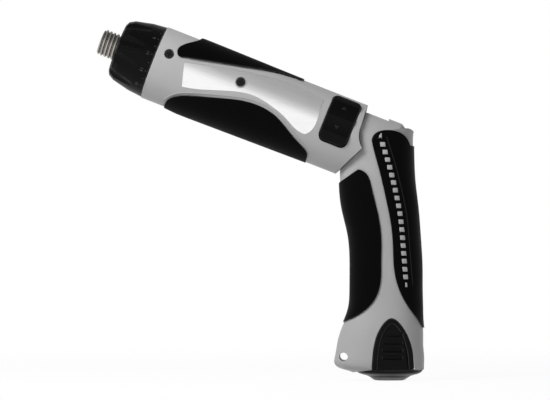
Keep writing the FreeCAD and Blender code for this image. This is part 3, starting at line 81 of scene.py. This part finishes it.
NOISE_SPAN = (0.3, 0.7)
SLOW_DETAIL, FINE_DETAIL = 5, 3
FINE_SHARE = 0.5
RELIEF_DEPTH = 0.1
BEVEL_SAMPLES, NEARNESS_SAMPLES = 4, 8
# Painted shade in hollows: how far the nearness looks, and the openness that is darkened
HOLLOW_SHADE_DISTANCE, HOLLOW_SHADE_SPAN = 2.0, (0.4, 0.95)
# Painted highlights on edges: how far the nearness looks, and the depth that is made pale
EDGE_HIGHLIGHT_DISTANCE, EDGE_HIGHLIGHT_SPAN = 0.6, (0.45, 0.85)


def noise_of(tree, coords, scale, detail, stretch, turn):
    mapping = tree.nodes.new("ShaderNodeMapping")
    mapping.inputs["Scale"].default_value = stretch
    mapping.inputs["Rotation"].default_value = (0, turn, 0)
    tree.links.new(coords.outputs["Object"], mapping.inputs["Vector"])
    noise = tree.nodes.new("ShaderNodeTexNoise")
    noise.inputs["Scale"].default_value = scale
    noise.inputs["Detail"].default_value = detail
    tree.links.new(mapping.outputs["Vector"], noise.inputs["Vector"])
    return noise.outputs["Fac"]


def ranged(tree, value, span, low, high):
    """A value mapped from a span to the range from low to high."""
    node = tree.nodes.new("ShaderNodeMapRange")
    node.inputs["From Min"].default_value, node.inputs["From Max"].default_value = span
    node.inputs["To Min"].default_value = low
    node.inputs["To Max"].default_value = high
    tree.links.new(value, node.inputs["Value"])
    return node.outputs["Result"]


def math_node(tree, operation, *values):
    """A math node whose inputs are numbers or sockets."""
    node = tree.nodes.new("ShaderNodeMath")
    node.operation = operation
    for socket, value in zip(node.inputs, values):
        if isinstance(value, (int, float)):
            socket.default_value = value
        else:
            tree.links.new(value, socket)
    return node.outputs[0]


def nearness(tree, inside, distance):
    """How open a point is on its outer or inner side."""
    node = tree.nodes.new("ShaderNodeAmbientOcclusion")
    node.samples = NEARNESS_SAMPLES
    node.inside = inside
    node.only_local = True
    node.inputs["Distance"].default_value = distance * MM
    return node.outputs["AO"]


def colour_mix(tree, blend_type="MIX"):
    node = tree.nodes.new("ShaderNodeMix")
    node.data_type = "RGBA"
    node.blend_type = blend_type
    return node


# Painted shade: the colour is darkened where the surface is closed in, in grooves, slots and recesses
def painted_hollow_shade(tree, shade, hollow_shade):
    mix = colour_mix(tree, "MULTIPLY")
    mix.inputs["Factor"].default_value = 1.0
    tree.links.new(shade, mix.inputs["A"])
    openness = nearness(tree, False, HOLLOW_SHADE_DISTANCE)
    tree.links.new(ranged(tree, openness, HOLLOW_SHADE_SPAN, 1 - hollow_shade, 1.0), mix.inputs["B"])
    return mix.outputs["Result"]


# Painted highlight: convex edges are blended towards a paler colour, standing in for the light they catch
def painted_edge_highlights(tree, shade, colour):
    mix = colour_mix(tree)
    depth = nearness(tree, True, EDGE_HIGHLIGHT_DISTANCE)
    tree.links.new(ranged(tree, depth, EDGE_HIGHLIGHT_SPAN, 1.0, 0.0), mix.inputs["Factor"])
    tree.links.new(shade, mix.inputs["A"])
    mix.inputs["B"].default_value = (*colour, 1)
    return mix.outputs["Result"]


def grey(level):
    return (level, level, level)


def finish_of(name, colour, roughness, spread=0.08, rough_spread=0.06, grain=2600, bump=0.15, metallic=0.0,
              stretch=(1, 1, 1), turn=0.0, blotch=60, edge=0.25, coat=0.0, specular=0.5, hollow_shade=0.0,
              edge_highlight=None):
    """A moulded, rubber or metal surface: grain in the bump, slow shifts in colour and gloss, softened edges,
    painted shade that darkens the hollows, and painted highlights that make the edges pale."""
    material = bpy.data.materials.new(name)
    material.use_nodes = True
    tree = material.node_tree
    shader = tree.nodes["Principled BSDF"]
    coords = tree.nodes.new("ShaderNodeTexCoord")
    slow = noise_of(tree, coords, blotch, SLOW_DETAIL, stretch, turn)
    fine = noise_of(tree, coords, grain, FINE_DETAIL, stretch, turn)
    mix = colour_mix(tree)
    mix.inputs["A"].default_value = (*[max(0, c * (1 - spread)) for c in colour], 1)
    mix.inputs["B"].default_value = (*[min(1, c * (1 + spread)) for c in colour], 1)
    slow_part = math_node(tree, "MULTIPLY", ranged(tree, slow, NOISE_SPAN, 0, 1), 1 - FINE_SHARE)
    blend = math_node(tree, "MULTIPLY_ADD", ranged(tree, fine, NOISE_SPAN, 0, 1), FINE_SHARE, slow_part)
    tree.links.new(blend, mix.inputs["Factor"])
    shade = painted_hollow_shade(tree, mix.outputs["Result"], hollow_shade) if hollow_shade else mix.outputs["Result"]
    shade = painted_edge_highlights(tree, shade, edge_highlight) if edge_highlight else shade
    tree.links.new(shade, shader.inputs["Base Color"])
    gloss = ranged(tree, slow, NOISE_SPAN, roughness - rough_spread, roughness + rough_spread)
    tree.links.new(gloss, shader.inputs["Roughness"])
    bevel = tree.nodes.new("ShaderNodeBevel")
    bevel.samples = BEVEL_SAMPLES
    bevel.inputs["Radius"].default_value = edge * MM
    relief = tree.nodes.new("ShaderNodeBump")
    relief.inputs["Strength"].default_value = bump
    relief.inputs["Distance"].default_value = RELIEF_DEPTH * MM
    tree.links.new(fine, relief.inputs["Height"])
    tree.links.new(bevel.outputs["Normal"], relief.inputs["Normal"])
    tree.links.new(relief.outputs["Normal"], shader.inputs["Normal"])
    shader.inputs["Metallic"].default_value = metallic
    shader.inputs["Specular IOR Level"].default_value = specular
    shader.inputs["Coat Weight"].default_value = coat
    return material


SHELL = finish_of("shell_plastic", grey(0.345), 0.5, spread=0.05, grain=3200, bump=0.2, specular=0.25)
# Grip rubber: its edges carry a painted highlight
RUBBER = finish_of("grip_rubber", grey(0.0018), 0.55, spread=0.25, grain=4200, bump=0.3, specular=0.03,
                   edge=0.4, edge_highlight=grey(0.016))
# Black plastic: painted shade in its hollows and a painted highlight along its edges
SATIN_BLACK = finish_of("black_plastic", grey(0.002), 0.3, spread=0.2, grain=3600, bump=0.12, specular=0.08,
                        hollow_shade=0.9, edge_highlight=grey(0.05))
BADGE = finish_of("badge_silver", grey(0.91), 0.2, spread=0.03, rough_spread=0.04, grain=900, bump=0.02,
                  metallic=0.9, stretch=(0.06, 1, 1), turn=BARREL_RISE, blotch=90, edge=0.12)
DISC = finish_of("disc_grey", grey(0.5), 0.45, grain=3200, bump=0.2, specular=0.3)
# Screw heads: painted shade in their slots and a painted highlight on their edges
SCREW = finish_of("screw_black", grey(0.02), 0.3, metallic=0.8, spread=0.2, grain=2400, bump=0.08, edge=0.1,
                  hollow_shade=0.95, edge_highlight=grey(0.03))
# Spindle: painted shade in the thread's grooves and a painted highlight on its crests
SPINDLE = finish_of("spindle_steel", (0.43, 0.405, 0.375), 0.34, metallic=0.95, spread=0.1, grain=1500,
                    bump=0.02, stretch=(1, 0.08, 0.08), turn=BARREL_RISE, edge=0.12, hollow_shade=0.6,
                    edge_highlight=(0.44, 0.42, 0.39))
INNER = finish_of("inner_plastic", (0.03, 0.03, 0.032), 0.5)
HINGE = finish_of("hinge_cast", (0.42, 0.42, 0.43), 0.5, metallic=0.9, grain=1800, bump=0.25)
MOTOR = finish_of("motor_plate_steel", (0.5, 0.5, 0.49), 0.38, metallic=0.95, grain=1200, bump=0.06)
GEAR = finish_of("gear_sintered", (0.33, 0.33, 0.34), 0.52, metallic=0.9, grain=2800, bump=0.25)
BRASS = finish_of("contact_brass", (0.62, 0.45, 0.19), 0.36, metallic=0.95, grain=1600, bump=0.08)
CELL = finish_of("cell_sleeve", (0.02, 0.11, 0.05), 0.3, grain=900, bump=0.05, coat=0.3)
PIP = finish_of("pip_grey", grey(0.345), 0.5, spread=0.05, grain=3200, bump=0.15, edge=0.2)
PRINT = finish_of("dial_print", grey(0.045), 0.6, spread=0.05, grain=2600, bump=0.05, edge=0.02)

SLOT_FINISH = {
    "shell_grey": SHELL, "grip_rubber": RUBBER, "badge_silver": BADGE, "black_plastic": SATIN_BLACK,
    "disc_grey": DISC, "screw_steel": SCREW, "spindle_steel": SPINDLE, "inner_plastic": INNER,
    "hinge_metal": HINGE, "motor_steel": MOTOR, "gear_metal": GEAR, "contact_brass": BRASS,
    "cell_sleeve": CELL,
}


def dress_nodes():
    for part in frame["record"]["subparts"]:
        thing = NODES[part["node"]]
        thing.data.materials.clear()
        thing.data.materials.append(SLOT_FINISH[part["material_slot"]])


# Ways of making a small piece

def surface_of(*names):
    """Ray target made of CAD nodes at rest."""
    spots, faces = [], []
    for name in names:
        mesh = NODES[name].data
        start = len(spots)
        spots += [vertex.co.copy() for vertex in mesh.vertices]
        faces += [[start + index for index in polygon.vertices] for polygon in mesh.polygons]
    return BVHTree.FromPolygons(spots, faces)


def side_hit(target, sign, x, z):
    """Where a level ray from one side meets a surface, and the normal there."""
    return target.ray_cast(Vector((x, sign * RAY_START, z)) * MM, Vector((0, -sign, 0)))[:2]


def barrel_hit(target, station, out):
    """Where a ray towards the barrel's axis meets a surface, and the normal there."""
    return target.ray_cast(on_barrel(station, 0, 0) + out * RAY_START * MM, -out)[:2]


def mesh_piece(name, data, material, body):
    mesh = bpy.data.meshes.new(name)
    data.to_mesh(mesh)
    data.free()
    mesh.polygons.foreach_set("use_smooth", [True] * len(mesh.polygons))
    piece = bpy.data.objects.new(name, mesh)
    bpy.context.collection.objects.link(piece)
    piece.data.materials.append(material)
    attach(piece, body)
    return piece


def mesh_from_curve(name, curve):
    holder = bpy.data.objects.new(name, curve)
    bpy.context.collection.objects.link(holder)
    bpy.context.view_layer.update()
    mesh = bpy.data.meshes.new_from_object(holder.evaluated_get(bpy.context.evaluated_depsgraph_get()))
    bpy.data.objects.remove(holder)
    return mesh


BEAD_RESOLUTION = 3


def tube(name, points, radius, material, body, closed=False):
    """A thin bead along points."""
    line = bpy.data.curves.new(name, "CURVE")
    line.dimensions = "3D"
    line.bevel_depth = radius * MM
    line.bevel_resolution = BEAD_RESOLUTION
    line.use_fill_caps = True
    spline = line.splines.new("POLY")
    spline.points.add(len(points) - 1)
    for spot, place in zip(spline.points, points):
        spot.co = (*place, 1)
    spline.use_cyclic_u = closed
    data = bmesh.new()
    data.from_mesh(mesh_from_curve(name + "_line", line))
    return mesh_piece(name, data, material, body)


CURVE_STEPS = 400
ROUNDING = 1e-12


def curve_through(points, count):
    """Evenly spaced points of a smooth curve through a few points."""
    def spot(t):
        k = min(int(t), len(points) - 2)
        f = t - k
        p0, p1 = points[max(k - 1, 0)], points[k]
        p2, p3 = points[k + 1], points[min(k + 2, len(points) - 1)]
        return [0.5 * (2 * b + (c - a) * f + (2 * a - 5 * b + 4 * c - d) * f * f
                       + (3 * b - a - 3 * c + d) * f ** 3)
                for a, b, c, d in zip(p0, p1, p2, p3)]

    dense = [spot((len(points) - 1) * k / CURVE_STEPS) for k in range(CURVE_STEPS + 1)]
    reach = [0.0]
    for a, b in zip(dense, dense[1:]):
        reach.append(reach[-1] + math.dist(a, b))
    out = []
    for k in range(count):
        goal = reach[-1] * k / (count - 1)
        index = next(i for i, value in enumerate(reach) if value >= goal - ROUNDING)
        out.append(dense[index])
    return out


def set_on(data, place, across, up, normal, outline, heights):
    """A small raised shape: rings of an outline at rising heights, closed at both ends."""
    rings = []
    for shrink, height in heights:
        rings.append([data.verts.new(place + (across * u * shrink + up * v * shrink + normal * height) * MM)
                      for u, v in outline])
    for low, high in zip(rings, rings[1:]):
        for k in range(len(low)):
            data.faces.new((low[k], low[(k + 1) % len(low)], high[(k + 1) % len(low)], high[k]))
    data.faces.new(rings[-1])
    data.faces.new(list(reversed(rings[0])))


# Row of tiles and crease on the rear grips: line as shares of the handle's depth and the pivot's height

PIP_LINE_SHARES = [
    (-0.086, 1.047), (0.045, 0.914), (0.144, 0.784), (0.199, 0.684), (0.236, 0.547), (0.270, 0.412),
]
PIP_OUTLINE = [
    (-1.45, 1.0), (-1.25, 1.2), (1.0, 1.2), (1.25, 1.0),
    (1.45, -1.0), (1.25, -1.2), (-1.0, -1.2), (-1.25, -1.0),
]
PIP_ARROW = [
    (-0.9, -1.1), (-0.55, 0.5), (0.35, 1.9), (0.75, 1.7),
    (0.8, 0.4), (0.85, -1.1), (0.45, -0.5), (-0.35, -0.5),
]
PIP_HEIGHTS = ((1.0, -0.35), (1.0, 0.1), (0.9, 0.26), (0.5, 0.3))
PIP_COUNT = 20
SLIVER_SHARE = 0.4
CREASE_SHIFT_SHARE = 0.088
CREASE_POINTS, CREASE_RADIUS = 80, 0.3


def pip_line(count):
    return curve_through([(x * HANDLE_DEPTH, z * PIVOT_HEIGHT) for x, z in PIP_LINE_SHARES], count)


def add_pips(side, sign):
    """The row of tiles down the rear grip: an arrow first, a sliver last."""
    target = surface_of(f"handle_grip_rear_{side}", f"handle_shell_{side}")
    data = bmesh.new()
    for k, (x, z) in enumerate(pip_line(PIP_COUNT)):
        hit, normal = side_hit(target, sign, x, z)
        if hit is None:
            continue
        level = (Vector((0, 0, 1)) - normal * normal.z).normalized()
        across = level.cross(normal) * -sign
        outline = PIP_ARROW if k == 0 else PIP_OUTLINE
        narrow = SLIVER_SHARE if k == PIP_COUNT - 1 else 1.0
        set_on(data, hit, across * narrow, level, normal, outline, PIP_HEIGHTS)
    bmesh.ops.recalc_face_normals(data, faces=data.faces)
    mesh_piece(f"grip_pips_{side}", data, PIP, "handle")


def add_grip_crease(side, sign):
    """The fine ridge that runs down the rear grip behind the row of tiles."""
    target = surface_of(f"handle_grip_rear_{side}")
    shift = CREASE_SHIFT_SHARE * HANDLE_DEPTH
    hits = [side_hit(target, sign, x + shift, z)[0] for x, z in pip_line(CREASE_POINTS)]
    line = [hit for hit in hits if hit is not None]
    tube(f"grip_crease_{side}", line, CREASE_RADIUS, RUBBER, "handle")


# Bead beside the lower barrel grips: the grip's edge as shares of its length and the barrel's radius

LOWER_GRIP_SHARES = [
    (0.999, -0.935), (0.986, -0.795), (0.935, -0.615), (0.860, -0.485), (0.697, -0.285), (0.512, -0.090),
    (0.379, -0.070), (0.265, -0.190), (0.195, -0.340), (0.075, -0.605), (0.002, -0.820),
]
LOWER_GRIP_REAR, LOWER_GRIP_FRONT = 30.6, 111.0
BEAD_POINTS, BEAD_RADIUS, BEAD_GAP = 90, 0.28, 1.5
BEAD_REACH_SHARE = 0.97


def add_grip_beads(side, sign):
    """The fine raised line that runs beside the upper edge of the lower grip."""
    length = LOWER_GRIP_FRONT - LOWER_GRIP_REAR
    edge = curve_through([(LOWER_GRIP_REAR + a * length, h * BARREL_RADIUS) for a, h in LOWER_GRIP_SHARES],
                         BEAD_POINTS)
    line = []
    for k, (a, h) in enumerate(edge):
        before, after = edge[max(k - 1, 0)], edge[min(k + 1, len(edge) - 1)]
        da, dh = after[0] - before[0], after[1] - before[1]
        size = math.hypot(da, dh)
        a, h = a + dh / size * BEAD_GAP, h - da / size * BEAD_GAP
        if abs(h) < BARREL_RADIUS * BEAD_REACH_SHARE:
            line.append(on_barrel(a, -sign * math.sqrt(BARREL_RADIUS ** 2 - h * h), h))
    tube(f"grip_bead_{side}", line, BEAD_RADIUS, SHELL, "barrel")


# Rocker arrows: the rocker's angle above the barrel's left side and the arrows' turns from it, in degrees

ARROW = [(-1.5, -0.9), (0.0, -0.7), (1.5, -0.9), (0.6, 0.5), (0.0, 1.3), (-0.6, 0.5)]
ARROW_HEIGHTS = ((1, -0.15), (1, 0.1), (0.8, 0.16))
ROCKER_STATION, ROCKER_ANGLE = 21.4, 25
ARROW_TURNS = ((17, 1), (-16, -1))


def add_rocker_arrows():
    target = surface_of("rocker_switch")
    data = bmesh.new()
    for turn, flip in ARROW_TURNS:
        hit, normal = barrel_hit(target, ROCKER_STATION, outward(math.radians(ROCKER_ANGLE + turn)))
        up = (UP - normal * UP.dot(normal)).normalized() * flip
        set_on(data, hit, normal.cross(up), up, normal, ARROW, ARROW_HEIGHTS)
    bmesh.ops.recalc_face_normals(data, faces=data.faces)
    mesh_piece("rocker_arrows", data, RUBBER, "rocker")


# Print round the clutch collar: ticks, and a number at every second one

DIAL_MARKS, DIAL_START, DIAL_SWEEP = 21, 150, 280
TICK_STATION, NUMBER_STATION = 126.0, 128.6
TICK = [(-0.12, -0.6), (0.12, -0.6), (0.12, 0.6), (-0.12, 0.6)]
TICK_HEIGHTS = ((1, -0.05), (1, 0.03))
NUMBER_SIZE, PRINT_THICK = 2.3, 0.03


def number_mesh(text):
    number = bpy.data.curves.new(f"number_{text}", "FONT")
    number.body = text
    number.size = NUMBER_SIZE
    number.align_x, number.align_y = "CENTER", "CENTER"
    number.extrude = PRINT_THICK
    return mesh_from_curve(f"number_{text}", number)


def add_dial():
    """Index numbers and ticks printed round the rear of the clutch collar."""
    target = surface_of("clutch_collar")
    data = bmesh.new()
    for k in range(DIAL_MARKS):
        angle = math.radians(DIAL_START - k * DIAL_SWEEP / (DIAL_MARKS - 1))
        out = outward(angle)
        around = UP * math.cos(angle) - LEFT * math.sin(angle)
        hit, normal = barrel_hit(target, TICK_STATION, out)
        if hit is None:
            continue
        set_on(data, hit, around, ALONG, normal, TICK, TICK_HEIGHTS)
        if k % 2 == 0:
            mesh = number_mesh(str(1 + k))
            hit, normal = barrel_hit(target, NUMBER_STATION, out)
            right = -around
            turn = Matrix((right, normal.cross(right), normal)).transposed().to_4x4()
            mesh.transform(Matrix.Translation(hit) @ turn @ Matrix.Scale(MM, 4))
            data.from_mesh(mesh)
    mesh_piece("dial_print", data, PRINT, "collar")


# Screw rims: the screw's place on the badge and the rim's sizes, in millimetres

BADGE_SCREW_STATION, BADGE_SCREW_RISE = 77.2, 6.9
RIM_RADIUS, RIM_WIRE, RIM_POINTS, RIM_PROUD = 3.0, 0.32, 48, 0.1


def add_screw_rims():
    """Bevelled rims round the screw recesses in the badges."""
    for side, sign in SIDES:
        line = []
        for k in range(RIM_POINTS):
            turn = math.tau * k / RIM_POINTS
            station = BADGE_SCREW_STATION + RIM_RADIUS * math.cos(turn)
            rise = BADGE_SCREW_RISE + RIM_RADIUS * math.sin(turn)
            reach = math.sqrt((BARREL_RADIUS + RIM_PROUD) ** 2 - rise ** 2)
            line.append(on_barrel(station, -sign * reach, rise))
        tube(f"screw_rim_{side}", line, RIM_WIRE, SHELL, "barrel", closed=True)


# Clutch spring: stations of its ends, and middle and radius of its wire, in millimetres

SPRING_REAR, SPRING_FRONT = 108.5, 124.7
SPRING_RADIUS, SPRING_WIRE = 13.1, 0.9
SPRING_TURNS, TURN_POINTS = 5, 32


def add_clutch_spring():
    """The coil spring behind the clutch nut, drawn in place of the CAD spring, which is hidden."""
    steps = SPRING_TURNS * TURN_POINTS
    length = SPRING_FRONT - SPRING_REAR
    line = []
    for k in range(steps + 1):
        station = SPRING_REAR + SPRING_WIRE + (length - 2 * SPRING_WIRE) * k / steps
        out = outward(math.tau * SPRING_TURNS * k / steps)
        line.append(on_barrel(station, 0, 0) + out * SPRING_RADIUS * MM)
    coil = tube("clutch_coil", line, SPRING_WIRE, MOTOR, "barrel")
    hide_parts("clutch_spring")
    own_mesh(coil)


# Stage: the white room, a pale floor that keeps the shadow, soft lamps and the photo's view, in metres

WORLD_LEVEL = 0.16
ROOM_STOPS = ((0.0, 1.0), (0.5, 1.0), (0.62, 1.0), (0.72, 0.68), (0.85, 0.39), (1.0, 0.3))
FLOOR_HALF = 6
FLOOR_COLOUR = grey(0.78)
NEAR_FLOOR, FAR_FLOOR = 0.25, 0.7
NEAR_WHITE = 0.94
LAMPS = (
    ("key", (-0.40, -0.42, 0.55), (-0.12, 0, 0.16), (0.36, 0.36), 5.4),
    ("fill", (0.6, -1.2, 0.3), (-0.05, 0, 0.1), (0.8, 0.8), 2.0),
    ("top", (-0.1, -0.1, 1.3), (-0.05, 0, 0.1), (0.9, 0.5), 2),
    ("rim", (-0.2, 1.1, 0.6), (-0.05, 0, 0.12), (0.9, 0.6), 5),
)
VIEW_AZIMUTH = math.radians(2)
VIEW_DISTANCE, VIEW_WIDTH = 3.0, 0.2915
VIEW_TARGET = Vector((-59.4, 0, 95.4)) * MM
SENSOR_WIDTH = 36
CLIP = (0.01, 50)


def white_ground(material):
    """Shows the white room to the camera and to mirror-like rays, and keeps the shadow round the part."""
    material.use_nodes = True
    tree = material.node_tree
    tree.nodes.clear()
    out = tree.nodes.new("ShaderNodeOutputMaterial")
    rays = tree.nodes.new("ShaderNodeLightPath")
    passed_on = math_node(tree, "MAXIMUM", rays.outputs["Is Glossy Ray"], rays.outputs["Is Transmission Ray"])
    seen = math_node(tree, "MAXIMUM", rays.outputs["Is Camera Ray"], passed_on)
    spot = tree.nodes.new("ShaderNodeNewGeometry")
    reach = tree.nodes.new("ShaderNodeVectorMath")
    reach.operation = "LENGTH"
    tree.links.new(spot.outputs["Position"], reach.inputs[0])
    fade = tree.nodes.new("ShaderNodeMapRange")
    fade.interpolation_type = "SMOOTHSTEP"
    fade.inputs["From Min"].default_value = NEAR_FLOOR
    fade.inputs["From Max"].default_value = FAR_FLOOR
    fade.inputs["To Min"].default_value = NEAR_WHITE
    fade.inputs["To Max"].default_value = 1.0
    tree.links.new(reach.outputs["Value"], fade.inputs["Value"])
    plain = tree.nodes.new("ShaderNodeBsdfDiffuse")
    plain.inputs["Color"].default_value = (*FLOOR_COLOUR, 1)
    open_view = tree.nodes.new("ShaderNodeBsdfTransparent")
    mix = tree.nodes.new("ShaderNodeMixShader")
    tree.links.new(math_node(tree, "MULTIPLY", seen, fade.outputs["Result"]), mix.inputs["Fac"])
    tree.links.new(plain.outputs[0], mix.inputs[1])
    tree.links.new(open_view.outputs[0], mix.inputs[2])
    tree.links.new(mix.outputs[0], out.inputs["Surface"])


def add_stage():
    data = bmesh.new()
    corners = [(-1, -1), (1, -1), (1, 1), (-1, 1)]
    data.faces.new([data.verts.new((x * FLOOR_HALF, y * FLOOR_HALF, 0)) for x, y in corners])
    mesh = bpy.data.meshes.new("floor")
    data.to_mesh(mesh)
    data.free()
    floor = bpy.data.objects.new("floor", mesh)
    bpy.context.collection.objects.link(floor)
    ground = bpy.data.materials.new("ground_white")
    white_ground(ground)
    mesh.materials.append(ground)


def add_world():
    """White as a background and in level reflections, with a dimmer ceiling above."""
    world = bpy.data.worlds.new("studio")
    bpy.context.scene.world = world
    world.use_nodes = True
    tree = world.node_tree
    tree.nodes.clear()
    out = tree.nodes.new("ShaderNodeOutputWorld")
    back = tree.nodes.new("ShaderNodeBackground")
    rays = tree.nodes.new("ShaderNodeLightPath")
    seen = math_node(tree, "MAXIMUM", rays.outputs["Is Camera Ray"], rays.outputs["Is Transmission Ray"])
    coords = tree.nodes.new("ShaderNodeTexCoord")
    split = tree.nodes.new("ShaderNodeSeparateXYZ")
    tree.links.new(coords.outputs["Generated"], split.inputs[0])
    room = tree.nodes.new("ShaderNodeValToRGB")
    while len(room.color_ramp.elements) < len(ROOM_STOPS):
        room.color_ramp.elements.new(0.5)
    for stop, (place, level) in zip(room.color_ramp.elements, ROOM_STOPS):
        stop.position = place
        stop.color = (*grey(level), 1)
    tree.links.new(ranged(tree, split.outputs["Z"], (-1, 1), 0, 1), room.inputs["Fac"])
    shine = tree.nodes.new("ShaderNodeMix")
    tree.links.new(rays.outputs["Is Glossy Ray"], shine.inputs["Factor"])
    shine.inputs["A"].default_value = WORLD_LEVEL
    tree.links.new(room.outputs["Color"], shine.inputs["B"])
    level = tree.nodes.new("ShaderNodeMix")
    tree.links.new(seen, level.inputs["Factor"])
    tree.links.new(shine.outputs["Result"], level.inputs["A"])
    level.inputs["B"].default_value = 1.0
    tree.links.new(level.outputs["Result"], back.inputs["Strength"])
    back.inputs["Color"].default_value = (1, 1, 1, 1)
    tree.links.new(back.outputs[0], out.inputs["Surface"])


def aim(thing, direction):
    thing.rotation_mode = "QUATERNION"
    thing.rotation_quaternion = direction.to_track_quat("-Z", "Y")


def add_lamp(name, place, target, size, power):
    lamp = bpy.data.lights.new(name, "AREA")
    lamp.shape = "RECTANGLE"
    lamp.size, lamp.size_y = size
    lamp.energy = power
    thing = bpy.data.objects.new(name, lamp)
    bpy.context.collection.objects.link(thing)
    thing.visible_glossy = False
    thing.location = place
    aim(thing, Vector(target) - Vector(place))


def add_camera():
    camera = bpy.data.cameras.new("photo_view")
    thing = bpy.data.objects.new("photo_view", camera)
    bpy.context.collection.objects.link(thing)
    back = Vector((math.sin(VIEW_AZIMUTH), -math.cos(VIEW_AZIMUTH), 0))
    thing.location = VIEW_TARGET + back * VIEW_DISTANCE
    aim(thing, -back)
    camera.sensor_width = SENSOR_WIDTH
    camera.sensor_fit = "HORIZONTAL"
    camera.lens = SENSOR_WIDTH * VIEW_DISTANCE / VIEW_WIDTH
    camera.clip_start, camera.clip_end = CLIP
    bpy.context.scene.camera = thing


dress_nodes()
for side, sign in SIDES:
    add_pips(side, sign)
    add_grip_crease(side, sign)
    add_grip_beads(side, sign)
add_rocker_arrows()
add_dial()
add_screw_rims()
add_clutch_spring()
add_stage()
add_world()
for lamp in LAMPS:
    add_lamp(*lamp)
add_camera()
bpy.context.scene.view_settings.view_transform = "Standard"
